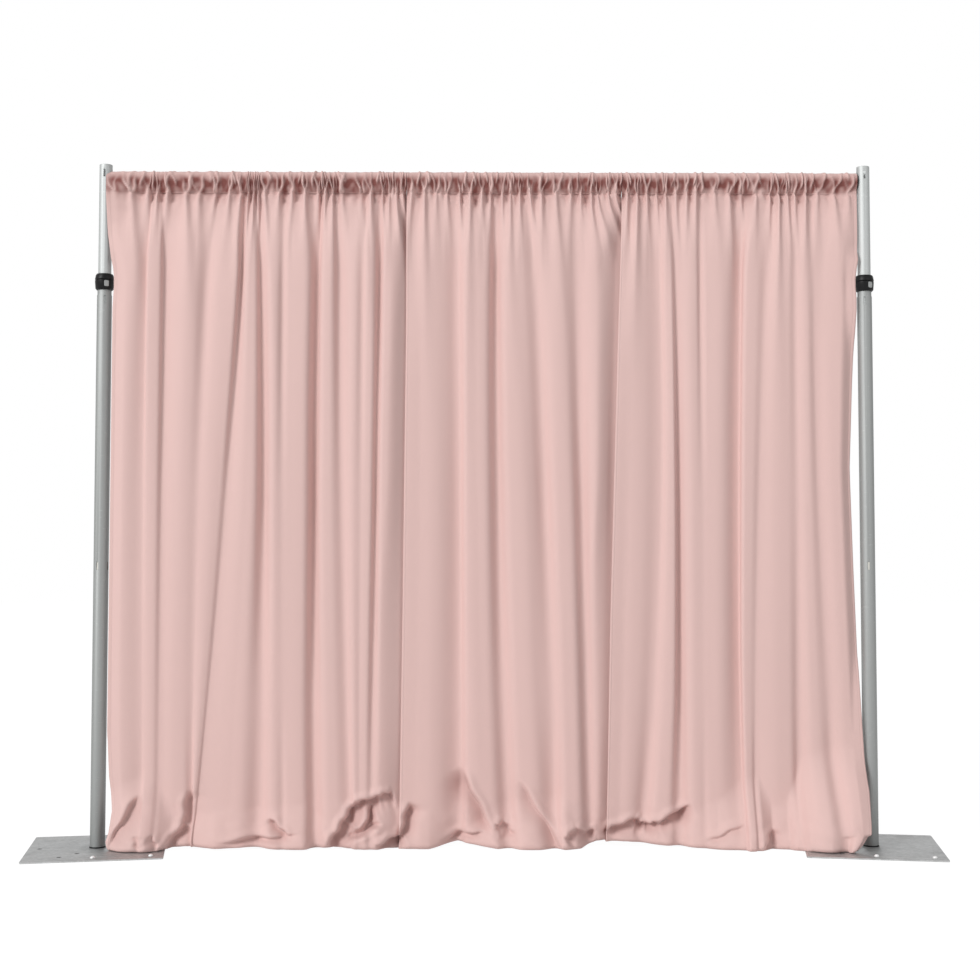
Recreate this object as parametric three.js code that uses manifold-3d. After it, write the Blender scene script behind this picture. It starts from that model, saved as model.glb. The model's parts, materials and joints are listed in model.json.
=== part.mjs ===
// Pipe and drape backdrop: two telescoping uprights on flat steel bases, a telescoping crossbar hooked
// between them, and three gathered drape panels on the bar. Millimetres, +Z up.
// The origin is on the floor, midway between the two uprights. The front faces -Y.

import * as THREE from 'three';
import { mergeVertices } from 'three/addons/utils/BufferGeometryUtils.js';
import Module from 'manifold-3d';

// Overall sizes
const axisSpan = 2650;
const mastTop = 2362;
const shoulderBelowMastTop = 457;
const barBelowMastTop = 47;

// Clearances between pieces
const seatGap = 0.3;
const runningGap = 0.3;
const slideGap = 0.45;
const cutOverrun = 3;

// Facets round a turned piece
const tubeFacets = 32;
const hiddenFacets = 24;
const smallFacets = 16;

// Base plate
const plateSide = 457.2;
const plateThickness = 4.8;
const plateCornerRadius = 7;
const plateFacets = 5;
const plateHoleDiameter = 10;
const plateHolePlaces = [[0, -187], [187, -187], [-190, 0], [-58, -103], [-110, -160]];
const plateTurn = THREE.MathUtils.degToRad(9.5);

// Base pin and its bolt
const pinDiameter = 44.45;
const pinHeight = 200;
const pinWall = 3.2;
const pinFloor = 32;
const pinThreadDepth = 26;
const pinTopChamfer = 5;
const pinTopEdgeShare = 0.5;
const boltDiameter = 12.7;
const boltHeadDiameter = 21.5;
const boltHeadDepth = 4;
const boltRecess = 0.4;
const boltTipGap = 2;
const boltSocketDiameter = 7;
const boltSocketDepth = 3;
const footRingDiameter = 54.5;
const footRingThickness = 3;
const footRingBevel = 0.8;

// Tubes of the upright
const tubeWall = 1.65;
const lowerTubeDiameter = 50.8;
const mastDiameter = 44.45;
const mastLength = 1524;
const neckWall = 1.4;
const neckShowing = 16.3;
const neckInCollar = 20;
const shoulderTaper = 3;
const rimBevel = 0.4;

// Hook slots, four round the tube at each place
const slotCount = 4;
const slotWidth = 7;
const slotHeight = 27;
const slotBelowMastTop = 18;
const slotBelowShoulder = 5.5;
const midSlotHeight = 951;
const lowerSlotTurns = { left: THREE.MathUtils.degToRad(17), right: THREE.MathUtils.degToRad(-11) };
const midSlotTurns = { left: THREE.MathUtils.degToRad(-16), right: THREE.MathUtils.degToRad(-7) };

// Guide bush on the hidden foot of the mast; its top meets the lower tube's shoulder at full height
const bushHeight = 150;
const bushLip = 3;
const bushLipWidth = 3;

// Slip-lock collar: body on the neck, cap above it, the two meeting at a groove
const collarRadius = 32.8;
const collarWaistRadius = 31;
const collarFootRadius = 26.6;
const collarFootHeight = 5;
const collarHeight = 55.7;
const collarSplit = 34.2;
const collarGroove = 1.9;
const capTopRadius = 27.6;
const capShoulderDrop = 5;
const capShoulderRadius = 30.4;
const capSpigotDepth = 3;
const capSpigotWall = 1;
const chamberRadius = 29.2;
const rebateRadius = 30.4;
const rebateDepth = 3.2;
const buttonTurn = THREE.MathUtils.degToRad(25);

// Release button in the collar's window
const buttonWidth = 15.5;
const buttonHeight = 20.8;
const buttonCorner = 4;
const buttonCentre = 20.2;
const buttonTravel = 3;
const buttonFaceRadius = 33.2;
const buttonFaceBevel = 0.7;
const buttonFaceBevelHeight = 3.5;
const buttonHeadWall = 1.9;
const buttonRingGap = 0.41;
const buttonFacets = 6;

// Brake ring that cants round the mast, its fulcrum lug and its spring
const ringRadius = 28;
const ringThickness = 2.5;
const ringFloor = 28.5;
const ringTilt = THREE.MathUtils.degToRad(2.45);
const lugWidth = 10;
const lugReach = 3.2;
const lugDrop = 0.1;
const springRadius = 2;
const springWire = 0.6;
const springTurns = 3;
const springStepsPerTurn = 8;
const springSides = 5;

// Screw that holds the collar on the neck
const screwDiameter = 4;
const screwHeadDiameter = 7;
const screwHeadDepth = 2;
const screwHeight = 11;
const screwFacets = 12;
const screwHeadSink = 2.6;

// Crossbar
const outerBarDiameter = 38.1;
const innerBarDiameter = 31.75;
const barWall = 1.6;
const outerBarLength = 1950;
const innerBarLength = 1300;
const barEndGap = 6;
const barSleeveLength = 34;
const barSleeveLip = 4;
const barSleeveLipRise = 1.4;
const barBushLength = 30;

// Plug, hook blade and rivet at each end of the bar
const plugDepth = 36;
const plugFlange = 3;
const plugFlangeRise = 0.8;
const bladeThickness = 3;
const bladeTongue = 58;
const bladeHalfHeight = 11.5;
const bladeNeckRise = 13;
const bladeHookDrop = 8;
const bladeHookWidth = 6;
const bladeHookTaper = 2;
const rivetDiameter = 6;
const rivetHeadDiameter = 10;
const rivetHeadRise = 1.4;
const rivetFromEnd = 47;

// Drape panels
const clothThickness = 1.6;
const clothGap = 0.8;
const pocketDepth = 76;
const hemClearance = 3;
const plateHemClearance = 9;
const hemShelterRadius = 345;
const foldDrop = 2050;
const foldTopEase = 320;
const foldFootEase = 700;
const foldCrown = 4;
const hangDepth = 24;
const hangEase = 220;
const puffDepth = 16;
const puffEase = 26;
const puffFadeStart = 30;
const puffFadeEnd = 300;
const lapWidths = [60, 120];
const narrowFlank = 20;
const lapEase = 250;
const lapBehind = 28;
const lapFront = 6;
const lapGrowth = 120;
const lapTurn = 60;
const lapDrift = 75;
const lapDriftHeight = 500;
const pocketSideGap = 1;
const hemBulge = 20;
const hemBulgeHeight = 46;
const hemTuck = 12;
const drapeEdgeClearance = 40;
const edgeReach = 120;

// Where the panels meet down the drop, as shares of the span between the uprights
const panelJoinShares = [
  [[0, 0.3962], [0.21, 0.3962], [0.65, 0.3925], [1, 0.3887]],
  [[0, 0.6811], [0.21, 0.6736], [0.65, 0.6619], [1, 0.6555]],
];

// Fold valleys: place at the pocket, half-way down and at the hem, as shares of the span, then the depth high
// up, half-way down and low down, and the widths of the left and the right flank
const foldValleys = [
  [
    [0.0589, 0.0555, 0.0585, 16, 6, 1, 60, 10],
    [0.0796, 0.0804, 0.0804, 18, 12, 7, 16, 90],
    [0.1838, 0.1645, 0.1283, 22, 7, 9, 12, 70],
    [0.2038, 0.2109, 0.2094, 24, 28, 12, 40, 52],
    [0.2811, 0.2766, 0.2792, 34, 37, 26, 42, 44],
    [0.3075, 0.3136, 0.3245, 24, 13, 8, 40, 55],
    [0.3626, 0.3574, 0.3536, 21, 21, 12, 24, 20],
  ],
  [
    [0.4615, 0.4653, 0.4653, 16, 23, 19, 95, 30],
    [0.5132, 0.5151, 0.5283, 27, 28, 20, 44, 52],
    [0.5596, 0.577, 0.5887, 12, 25, 9, 80, 50],
    [0.6192, 0.6253, 0.6332, 10, 29, 24, 50, 56],
  ],
  [
    [0.7245, 0.7287, 0.7075, 6, 7, 6, 95, 22],
    [0.7494, 0.7509, 0.7517, 17, 24, 30, 14, 60],
    [0.8374, 0.8306, 0.8317, 30, 25, 26, 95, 14],
    [0.8743, 0.8577, 0.8491, 8, 6, 3, 28, 85],
    [0.9068, 0.9068, 0.9068, 5, 4, 12, 26, 90],
  ],
];

// How far the drape's side edges stand from the upright axes, down the drop, as shares of the edge clearance
const leftEdgeShares = [[0, 0.2], [0.01, 0.3], [0.062, 0.45], [0.099, 0.7], [0.126, 0.91], [0.15, 0.91],
  [0.18, 0.71], [0.82, 0.71], [0.93, 1.15], [1, 0.82]];
const rightEdgeShares = [[0, 0.58], [0.18, 0.67], [0.32, 1.2], [0.46, 1.54], [0.62, 1.3], [0.78, 0.85],
  [0.9, 0.2], [0.97, 0.03], [1, 0.4]];

// Shares that shape the drape
const bulgeShares = [1, 0.35];
const dropRowShares = [0, 0.3, 0.6, 0.86, 0.975];
const pocketBellyShare = 0.45;
const pocketFlatShare = 0.62;
const foldTopShare = 0.2;
const foldFootShare = 0.5;
const puffFadeShare = 0.55;
const lapStitchShare = 0.35;
const flankRoomShare = 0.94;
const flankMiddleShare = 0.42;
const flankSinkShare = 0.6;
const foldPlaceEnd = 1.08;
const foldDepthShares = [0.14, 0.47, 0.78];
const crownRoomShare = 0.77;
const hemWaveShare = 0.4;
const edgeHoldShare = 0.6;
const hemShelterEaseShare = 0.1;

// Counts that shape the drape
const topArcSteps = 3;
const pocketFrontRows = 2;
const hemWaveCount = 12;

const colours = {
  drape: 0xdcbcb5,
  aluminium: 0xbfc3c4,
  steel: 0xa5a7a7,
  zinc: 0xb8babb,
  black: 0x1c1c1d,
  nylon: 0xd8d8d2,
};

const finishes = {
  drape: new THREE.MeshStandardMaterial({ color: colours.drape, roughness: 0.75, metalness: 0 }),
  aluminium: new THREE.MeshStandardMaterial({ color: colours.aluminium, roughness: 0.38, metalness: 0.9 }),
  steel: new THREE.MeshStandardMaterial({ color: colours.steel, roughness: 0.55, metalness: 0.8 }),
  zinc: new THREE.MeshStandardMaterial({ color: colours.zinc, roughness: 0.4, metalness: 0.9 }),
  black: new THREE.MeshStandardMaterial({ color: colours.black, roughness: 0.45, metalness: 0 }),
  nylon: new THREE.MeshStandardMaterial({ color: colours.nylon, roughness: 0.5, metalness: 0 }),
};

const wasm = await Module();
wasm.setup();

// Levels and radii that follow from the sizes above
const half = axisSpan / 2;
const shoulderHeight = mastTop - shoulderBelowMastTop;
const barHeight = mastTop - barBelowMastTop;
const plateTop = plateThickness;
const footRingFloor = plateTop + seatGap;
const lowerTubeFoot = footRingFloor + footRingThickness + seatGap;
const mastRadius = mastDiameter / 2;
const lowerTubeRadius = lowerTubeDiameter / 2;
const lowerBoreRadius = lowerTubeRadius - tubeWall;
const neckBoreRadius = mastRadius + runningGap;
const neckRadius = neckBoreRadius + neckWall;
const collarFloor = shoulderHeight + neckShowing;
const neckTop = collarFloor + neckInCollar;
const mastFoot = mastTop - mastLength;
const mastSlotFloor = mastTop - slotBelowMastTop - slotHeight;
const outerBarRadius = outerBarDiameter / 2;
const innerBarRadius = innerBarDiameter / 2;
const barStart = -half + mastRadius + barEndGap;
const barStop = half - mastRadius - barEndGap;

// Turns a geometry into one with shared vertices, positions only, no collapsed faces, and faces outwards.
function closed(geometry) {
  const source = geometry.clone();
  source.deleteAttribute('normal');
  source.deleteAttribute('uv');
  const joined = mergeVertices(source);
  const index = joined.index.array;
  const kept = [];
  for (let i = 0; i < index.length; i += 3) {
    const [a, b, c] = [index[i], index[i + 1], index[i + 2]];
    if (a !== b && b !== c && c !== a) kept.push(a, b, c);
  }
  if (signedVolume(joined.attributes.position, kept) < 0) kept.reverse();
  joined.setIndex(kept);
  return joined;
}

function signedVolume(position, index) {
  const [a, b, c] = [new THREE.Vector3(), new THREE.Vector3(), new THREE.Vector3()];
  let sum = 0;
  for (let i = 0; i < index.length; i += 3) {
    a.fromBufferAttribute(position, index[i]);
    b.fromBufferAttribute(position, index[i + 1]);
    c.fromBufferAttribute(position, index[i + 2]);
    sum += a.dot(b.cross(c));
  }
  return sum;
}

function toSolid(geometry) {
  const shell = closed(geometry);
  return new wasm.Manifold(new wasm.Mesh({
    numProp: 3,
    vertProperties: new Float32Array(shell.attributes.position.array),
    triVerts: new Uint32Array(shell.index.array),
  }));
}

function toGeometry(solid) {
  const mesh = solid.getMesh();
  const geometry = new THREE.BufferGeometry();
  geometry.setAttribute('position', new THREE.BufferAttribute(new Float32Array(mesh.vertProperties), 3));
  geometry.setIndex(new THREE.BufferAttribute(new Uint32Array(mesh.triVerts), 1));
  return geometry;
}

function cut(geometry, ...tools) {
  return toGeometry(tools.reduce((solid, tool) => solid.subtract(toSolid(tool)), toSolid(geometry)));
}

// A body turned about the Z axis from a profile of [radius, height] points.
function turned(profile, facets = tubeFacets) {
  const points = profile.map(([radius, height]) => new THREE.Vector2(radius, height));
  return new THREE.LatheGeometry(points, facets).rotateX(Math.PI / 2);
}

// A ring or tube: the profile closes on itself.
function turnedRing(profile, facets = tubeFacets) {
  return turned([...profile, profile[0]], facets);
}

// A flat outline of [x, z] points, given a thickness along Y and centred on Y = 0.
function plateOnEdge(outline, thickness) {
  const shape = new THREE.Shape(outline.map(([x, z]) => new THREE.Vector2(x, z)));
  return new THREE.ExtrudeGeometry(shape, { depth: thickness, bevelEnabled: false })
    .rotateX(Math.PI / 2)
    .translate(0, thickness / 2, 0);
}

function roundedRectangle(width, height, radius) {
  const [w, h] = [width / 2, height / 2];
  const shape = new THREE.Shape();
  shape.moveTo(-w + radius, -h);
  shape.lineTo(w - radius, -h);
  shape.absarc(w - radius, -h + radius, radius, -Math.PI / 2, 0);
  shape.lineTo(w, h - radius);
  shape.absarc(w - radius, h - radius, radius, 0, Math.PI / 2);
  shape.lineTo(-w + radius, h);
  shape.absarc(-w + radius, h - radius, radius, Math.PI / 2, Math.PI);
  shape.lineTo(-w, -h + radius);
  shape.absarc(-w + radius, -h + radius, radius, Math.PI, Math.PI * 1.5);
  return shape;
}

function node(name, geometry, finish) {
  const mesh = new THREE.Mesh(closed(geometry), finishes[finish]);
  mesh.name = name;
  return mesh;
}

// Slots through the wall of a tube, their floor at the given height.
function slotCutters(radius, floor, turn) {
  const depth = 2 * (radius + cutOverrun);
  const cutters = [];
  for (let k = 0; k < slotCount / 2; k += 1) {
    const box = new THREE.BoxGeometry(slotWidth, depth, slotHeight);
    box.translate(0, 0, floor + slotHeight / 2);
    cutters.push(box.rotateZ(turn + (k * 2 * Math.PI) / slotCount));
  }
  return cutters;
}

function basePlate() {
  const plate = roundedRectangle(plateSide, plateSide, plateCornerRadius);
  for (const [x, y] of plateHolePlaces) {
    const hole = new THREE.Path();
    hole.absarc(x, y, plateHoleDiameter / 2, 0, 2 * Math.PI);
    plate.holes.push(hole);
  }
  const settings = { depth: plateThickness, bevelEnabled: false, curveSegments: plateFacets };
  const flat = new THREE.ExtrudeGeometry(plate, settings);
  const shank = boltDiameter / 2 + seatGap;
  const sink = boltHeadDiameter / 2 + seatGap;
  const bore = turned([
    [0, -cutOverrun],
    [sink, -cutOverrun],
    [sink, boltRecess],
    [shank, boltRecess + boltHeadDepth],
    [shank, plateThickness + cutOverrun],
    [0, plateThickness + cutOverrun],
  ], smallFacets);
  return cut(flat, bore);
}

function pinBolt() {
  const shank = boltDiameter / 2;
  const tip = plateTop + seatGap + pinThreadDepth - boltTipGap;
  const socket = boltSocketDiameter / 2;
  return turned([
    [0, boltRecess + boltSocketDepth],
    [socket, boltRecess + boltSocketDepth],
    [socket, boltRecess],
    [boltHeadDiameter / 2, boltRecess],
    [shank, boltRecess + boltHeadDepth],
    [shank, tip - rimBevel],
    [shank - rimBevel, tip],
    [0, tip],
  ], smallFacets);
}

function basePin() {
  const floor = plateTop + seatGap;
  const outer = pinDiameter / 2;
  const bore = outer - pinWall;
  const thread = boltDiameter / 2 + seatGap;
  return turned([
    [0, floor + pinThreadDepth],
    [thread, floor + pinThreadDepth],
    [thread, floor],
    [outer - rimBevel, floor],
    [outer, floor + rimBevel],
    [outer, floor + pinHeight - pinTopChamfer],
    [outer - pinWall * pinTopEdgeShare, floor + pinHeight],
    [bore, floor + pinHeight],
    [bore, floor + pinFloor],
    [0, floor + pinFloor],
  ], hiddenFacets);
}

function footRing() {
  const bore = pinDiameter / 2 + runningGap;
  const outer = footRingDiameter / 2;
  const top = footRingFloor + footRingThickness;
  return turnedRing([
    [bore, footRingFloor],
    [outer, footRingFloor],
    [outer, top - footRingBevel],
    [outer - footRingBevel, top],
    [bore, top],
  ]);
}

function lowerTube(side) {
  const tube = turnedRing([
    [lowerTubeRadius - rimBevel, lowerTubeFoot],
    [lowerTubeRadius, lowerTubeFoot + rimBevel],
    [lowerTubeRadius, shoulderHeight - shoulderTaper],
    [neckRadius, shoulderHeight],
    [neckRadius, neckTop],
    [neckBoreRadius, neckTop],
    [neckBoreRadius, shoulderHeight],
    [lowerBoreRadius, shoulderHeight - shoulderTaper],
    [lowerBoreRadius, lowerTubeFoot],
  ]);
  const topSlotFloor = shoulderHeight - slotBelowShoulder - slotHeight;
  const topSlots = slotCutters(lowerTubeRadius, topSlotFloor, lowerSlotTurns[side]);
  const midSlots = slotCutters(lowerTubeRadius, midSlotHeight, midSlotTurns[side]);
  return cut(tube, ...topSlots, ...midSlots);
}

function mast() {
  const tube = turnedRing([
    [mastRadius, mastFoot],
    [mastRadius, mastTop - rimBevel],
    [mastRadius - rimBevel, mastTop],
    [mastRadius - tubeWall, mastTop],
    [mastRadius - tubeWall, mastFoot],
  ]);
  return cut(tube, ...slotCutters(mastRadius, mastSlotFloor, 0));
}

function guideBush() {
  const outer = lowerBoreRadius - slideGap;
  const sleeve = mastRadius + seatGap;
  const lip = mastRadius - bushLipWidth;
  return turnedRing([
    [outer, mastFoot - bushLip],
    [outer, mastFoot + bushHeight - bushLip],
    [sleeve, mastFoot + bushHeight - bushLip],
    [sleeve, mastFoot - seatGap],
    [lip, mastFoot - seatGap],
    [lip, mastFoot - bushLip],
  ], hiddenFacets);
}

// The collar's pieces are drawn with their floor at Z = 0 and the button facing -Y.
function windowCutter() {
  const grow = 2 * seatGap;
  const opening = roundedRectangle(buttonWidth + grow, buttonHeight + grow, buttonCorner + seatGap);
  const depth = collarRadius + cutOverrun;
  return new THREE.ExtrudeGeometry(opening, { depth, bevelEnabled: false, curveSegments: buttonFacets })
    .rotateX(Math.PI / 2)
    .translate(0, 0, buttonCentre);
}

function collarBody() {
  const bore = neckRadius + seatGap;
  const chamberFloor = neckInCollar + seatGap;
  const shell = turnedRing([
    [bore, 0],
    [collarFootRadius, 0],
    [collarWaistRadius, collarFootHeight],
    [collarRadius, collarSplit - 2 * collarGroove],
    [collarRadius, collarSplit - collarGroove],
    [collarRadius - collarGroove, collarSplit],
    [rebateRadius, collarSplit],
    [rebateRadius, collarSplit - rebateDepth],
    [chamberRadius, collarSplit - rebateDepth],
    [chamberRadius, chamberFloor],
    [bore, chamberFloor],
  ]);
  const lug = lugBlock(chamberFloor);
  const joined = toGeometry(toSolid(shell).add(toSolid(lug)));
  const screwHole = alongY(turned([
    [0, 0],
    [screwDiameter / 2 + seatGap, 0],
    [screwDiameter / 2 + seatGap, screwHeadSeat()],
    [screwHeadDiameter / 2 + seatGap, screwHeadSeat()],
    [screwHeadDiameter / 2 + seatGap, collarRadius + cutOverrun],
    [0, collarRadius + cutOverrun],
  ], screwFacets), screwHeight);
  return cut(joined, windowCutter(), screwHole);
}

// The fulcrum lug stands on the chamber floor, opposite the button.
function lugBlock(chamberFloor) {
  const top = ringFloor - seatGap - lugDrop;
  const back = chamberRadius + seatGap;
  const root = chamberFloor - seatGap;
  const block = new THREE.BoxGeometry(lugWidth, lugReach + seatGap, top - root);
  return block.translate(0, back - (lugReach + seatGap) / 2, (top + root) / 2);
}

function screwHeadSeat() {
  return collarWaistRadius - screwHeadSink;
}

function alongY(geometry, height) {
  return geometry.rotateX(-Math.PI / 2).translate(0, 0, height);
}

function collarScrew() {
  const tip = neckRadius + seatGap;
  const seat = screwHeadSeat() + seatGap;
  return alongY(turned([
    [0, tip],
    [screwDiameter / 2, tip],
    [screwDiameter / 2, seat],
    [screwHeadDiameter / 2, seat],
    [screwHeadDiameter / 2, seat + screwHeadDepth - rimBevel],
    [screwHeadDiameter / 2 - rimBevel, seat + screwHeadDepth],
    [0, seat + screwHeadDepth],
  ], screwFacets), screwHeight);
}

function collarCap() {
  const bore = neckBoreRadius + seatGap / 2;
  const floor = collarSplit + seatGap;
  const spigot = rebateRadius - seatGap;
  return turnedRing([
    [bore, floor],
    [spigot - capSpigotWall, floor],
    [spigot - capSpigotWall, floor - capSpigotDepth],
    [spigot, floor - capSpigotDepth],
    [spigot, floor],
    [collarRadius - collarGroove, floor],
    [collarRadius, floor + collarGroove],
    [collarRadius, floor + 2 * collarGroove],
    [capShoulderRadius, collarHeight - capShoulderDrop],
    [capTopRadius, collarHeight],
    [bore + rimBevel, collarHeight],
    [bore, collarHeight - rimBevel],
  ]);
}

// The button's side view, [reach from the axis, height]: a head in the window, a ramped toe under the ring.
function buttonOutline() {
  const low = buttonCentre - buttonHeight / 2;
  const high = buttonCentre + buttonHeight / 2;
  const heel = neckRadius + seatGap + buttonTravel;
  const toe = mastRadius + runningGap + buttonTravel;
  const toeFloor = neckInCollar + 2 * seatGap;
  const headBack = buttonFaceRadius - buttonHeadWall;
  const lift = 2 * ringRadius * Math.sin(ringTilt);
  const slope = lift / buttonTravel;
  const ramp = (reach) => ringFloor - lift - buttonRingGap + slope * (reach - ringRadius);
  return [
    [heel, low],
    [buttonFaceRadius - buttonFaceBevel, low],
    [buttonFaceRadius, low + buttonFaceBevelHeight],
    [buttonFaceRadius, high - buttonFaceBevelHeight],
    [buttonFaceRadius - buttonFaceBevel, high],
    [headBack, high],
    [headBack, ramp(headBack)],
    [toe, ramp(toe)],
    [toe, toeFloor],
    [heel, toeFloor],
  ];
}

function releaseButton() {
  const side = plateOnEdge(buttonOutline(), buttonWidth).rotateZ(-Math.PI / 2);
  const face = roundedRectangle(buttonWidth, buttonHeight, buttonCorner);
  const prism = new THREE.ExtrudeGeometry(face, {
    depth: buttonFaceRadius + cutOverrun,
    bevelEnabled: false,
    curveSegments: buttonFacets,
  }).rotateX(Math.PI / 2).translate(0, 0, buttonCentre);
  return toGeometry(toSolid(side).intersect(toSolid(prism)));
}

function brakeRing() {
  const bore = mastRadius + slideGap;
  const ring = turnedRing([
    [bore, ringFloor],
    [ringRadius, ringFloor],
    [ringRadius, ringFloor + ringThickness],
    [bore, ringFloor + ringThickness],
  ]);
  ring.translate(0, -ringRadius, -ringFloor);
  ring.rotateX(ringTilt);
  return ring.translate(0, ringRadius, ringFloor);
}

class Helix extends THREE.Curve {
  constructor(radius, floor, rise, turns) {
    super();
    Object.assign(this, { radius, floor, rise, turns });
  }

  getPoint(t, target = new THREE.Vector3()) {
    const angle = 2 * Math.PI * this.turns * t;
    const [x, y] = [this.radius * Math.cos(angle), this.radius * Math.sin(angle)];
    return target.set(x, y, this.floor + this.rise * t);
  }
}

function brakeSpring() {
  const reach = (ringRadius + mastRadius + slideGap) / 2;
  const wire = springWire / 2;
  const seat = ringFloor + ringThickness - (ringRadius + reach - springRadius) * Math.sin(ringTilt);
  const low = seat + seatGap + wire;
  const high = collarSplit - wire;
  const path = new Helix(springRadius, low, high - low, springTurns);
  const section = new THREE.Shape();
  for (let k = 0; k < springSides; k += 1) {
    const angle = (2 * Math.PI * k) / springSides;
    section[k ? 'lineTo' : 'moveTo'](wire * Math.cos(angle), wire * Math.sin(angle));
  }
  const steps = springTurns * springStepsPerTurn;
  return new THREE.ExtrudeGeometry(section, { steps, extrudePath: path, bevelEnabled: false })
    .translate(0, -reach, 0);
}

// Bar pieces are drawn lying along X.
function alongX(geometry) {
  return geometry.rotateY(Math.PI / 2).translate(0, 0, barHeight);
}

function barTube(radius, start, length) {
  return alongX(turnedRing([
    [radius, start],
    [radius, start + length],
    [radius - barWall, start + length],
    [radius - barWall, start],
  ]));
}

function outerBar() {
  const tube = barTube(outerBarRadius, barStart + plugFlange, outerBarLength);
  return cut(tube, rivetHole(barStart + rivetFromEnd));
}

function innerBar() {
  const start = barStop - plugFlange - innerBarLength;
  return cut(barTube(innerBarRadius, start, innerBarLength), rivetHole(barStop - rivetFromEnd));
}

// A nylon sleeve in the mouth of the outer bar, which the inner bar slides through.
function barSleeve() {
  const mouth = barStart + plugFlange + outerBarLength;
  const bore = innerBarRadius + runningGap;
  const outer = outerBarRadius - barWall - seatGap;
  return alongX(turnedRing([
    [bore, mouth - barSleeveLength],
    [outer, mouth - barSleeveLength],
    [outer, mouth + seatGap],
    [outerBarRadius + barSleeveLipRise, mouth + seatGap],
    [outerBarRadius + barSleeveLipRise, mouth + barSleeveLip - rimBevel],
    [outerBarRadius, mouth + barSleeveLip],
    [bore, mouth + barSleeveLip],
  ]));
}

// A nylon bush on the hidden end of the inner bar keeps it central in the outer one.
function barBush() {
  const tip = barStop - plugFlange - innerBarLength;
  const outer = outerBarRadius - barWall - slideGap;
  const sleeve = innerBarRadius + seatGap;
  return alongX(turnedRing([
    [innerBarRadius - barWall, tip - bushLip],
    [outer, tip - bushLip],
    [outer, tip - bushLip + barBushLength],
    [sleeve, tip - bushLip + barBushLength],
    [sleeve, tip - seatGap],
    [innerBarRadius - barWall, tip - seatGap],
  ], hiddenFacets));
}

function rivetHole(place) {
  const radius = rivetDiameter / 2 + seatGap;
  const reach = outerBarRadius + cutOverrun;
  return turned([[0, -reach], [radius, -reach], [radius, reach], [0, reach]], smallFacets)
    .rotateX(Math.PI / 2)
    .translate(place, 0, barHeight);
}

// End pieces are drawn for the left end, X measured from the bar's end, and turned round for the right.
function barPlug(radius) {
  const bore = radius - barWall - seatGap;
  const body = turned([
    [0, 0],
    [radius + plugFlangeRise - rimBevel, 0],
    [radius + plugFlangeRise, rimBevel],
    [radius + plugFlangeRise, plugFlange - seatGap],
    [bore, plugFlange - seatGap],
    [bore, plugDepth],
    [0, plugDepth],
  ]).rotateY(Math.PI / 2);
  const slot = new THREE.BoxGeometry(
    plugDepth + 2 * cutOverrun,
    bladeThickness + 2 * seatGap,
    2 * (bladeHalfHeight + seatGap),
  ).translate(plugDepth / 2, 0, 0);
  return cut(body, slot);
}

function hookBlade() {
  const face = -(barEndGap + mastRadius);
  const wallOut = face + mastRadius;
  const wallIn = wallOut - tubeWall;
  const rest = mastSlotFloor + seatGap - barHeight;
  const crown = rest + bladeNeckRise;
  const inside = wallIn - seatGap;
  const outside = wallOut + seatGap;
  const blade = plateOnEdge([
    [bladeTongue, -bladeHalfHeight],
    [bladeTongue, bladeHalfHeight],
    [0, bladeHalfHeight],
    [outside, crown],
    [inside - bladeHookWidth + bladeHookTaper, crown],
    [inside - bladeHookWidth, crown - bladeHookTaper],
    [inside - bladeHookWidth, rest - bladeHookDrop + bladeHookTaper],
    [inside - bladeHookWidth + bladeHookTaper, rest - bladeHookDrop],
    [inside, rest - bladeHookDrop],
    [inside, rest],
    [outside, rest],
    [outside, -bladeHalfHeight + bladeHookTaper],
    [outside + bladeHookTaper, -bladeHalfHeight],
  ], bladeThickness);
  const hole = rivetHole(rivetFromEnd).translate(0, 0, -barHeight);
  return cut(blade, hole);
}

function rivet(radius) {
  const head = rivetHeadDiameter / 2;
  const shank = rivetDiameter / 2;
  const seat = radius + seatGap;
  const crown = seat + rivetHeadRise;
  return turned([
    [0, -crown],
    [head - rimBevel, -crown],
    [head, -seat],
    [shank, -seat],
    [shank, seat],
    [head, seat],
    [head - rimBevel, crown],
    [0, crown],
  ], smallFacets).rotateX(Math.PI / 2).translate(rivetFromEnd, 0, 0);
}

function interpolate(table, share) {
  const last = table.length - 1;
  const k = table.findIndex(([at]) => at >= share);
  if (k <= 0) return table[k < 0 ? last : 0][1];
  const [low, high] = [table[k - 1], table[k]];
  const t = (share - low[0]) / (high[0] - low[0]);
  return low[1] + (high[1] - low[1]) * t * t * (3 - 2 * t);
}

function ease(value, start, end) {
  return THREE.MathUtils.smoothstep(value, start, end);
}

const stitchHeight = barHeight + outerBarRadius + clothGap + clothThickness - pocketDepth;

// Lowest height of the hem at a place along the backdrop: it lies over a base near each upright.
function hemHeight(x) {
  const fromUpright = half - Math.abs(x);
  const softening = hemShelterRadius * hemShelterEaseShare;
  const over = 1 - ease(fromUpright, hemShelterRadius - softening, hemShelterRadius + softening);
  return hemClearance + (plateHemClearance - hemClearance) * over;
}

// One row of the drape: its height and the depth of the cloth's middle plane for a fold value of -1 to 1.
function drapeRows(x) {
  const hem = hemHeight(x) + clothThickness / 2;
  const rows = [];
  rows.push({ z: hem, bulge: -hemTuck });
  rows.push({ z: hem + hemBulgeHeight * bulgeShares[1], bulge: hemBulge });
  rows.push({ z: hem + hemBulgeHeight * 2 * bulgeShares[0], bulge: hemBulge * bulgeShares[1] });
  const foot = hem + hemBulgeHeight * 3;
  const above = stitchHeight - foot;
  for (const share of dropRowShares) rows.push({ z: foot + above * share, bulge: 0 });
  return rows;
}

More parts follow.
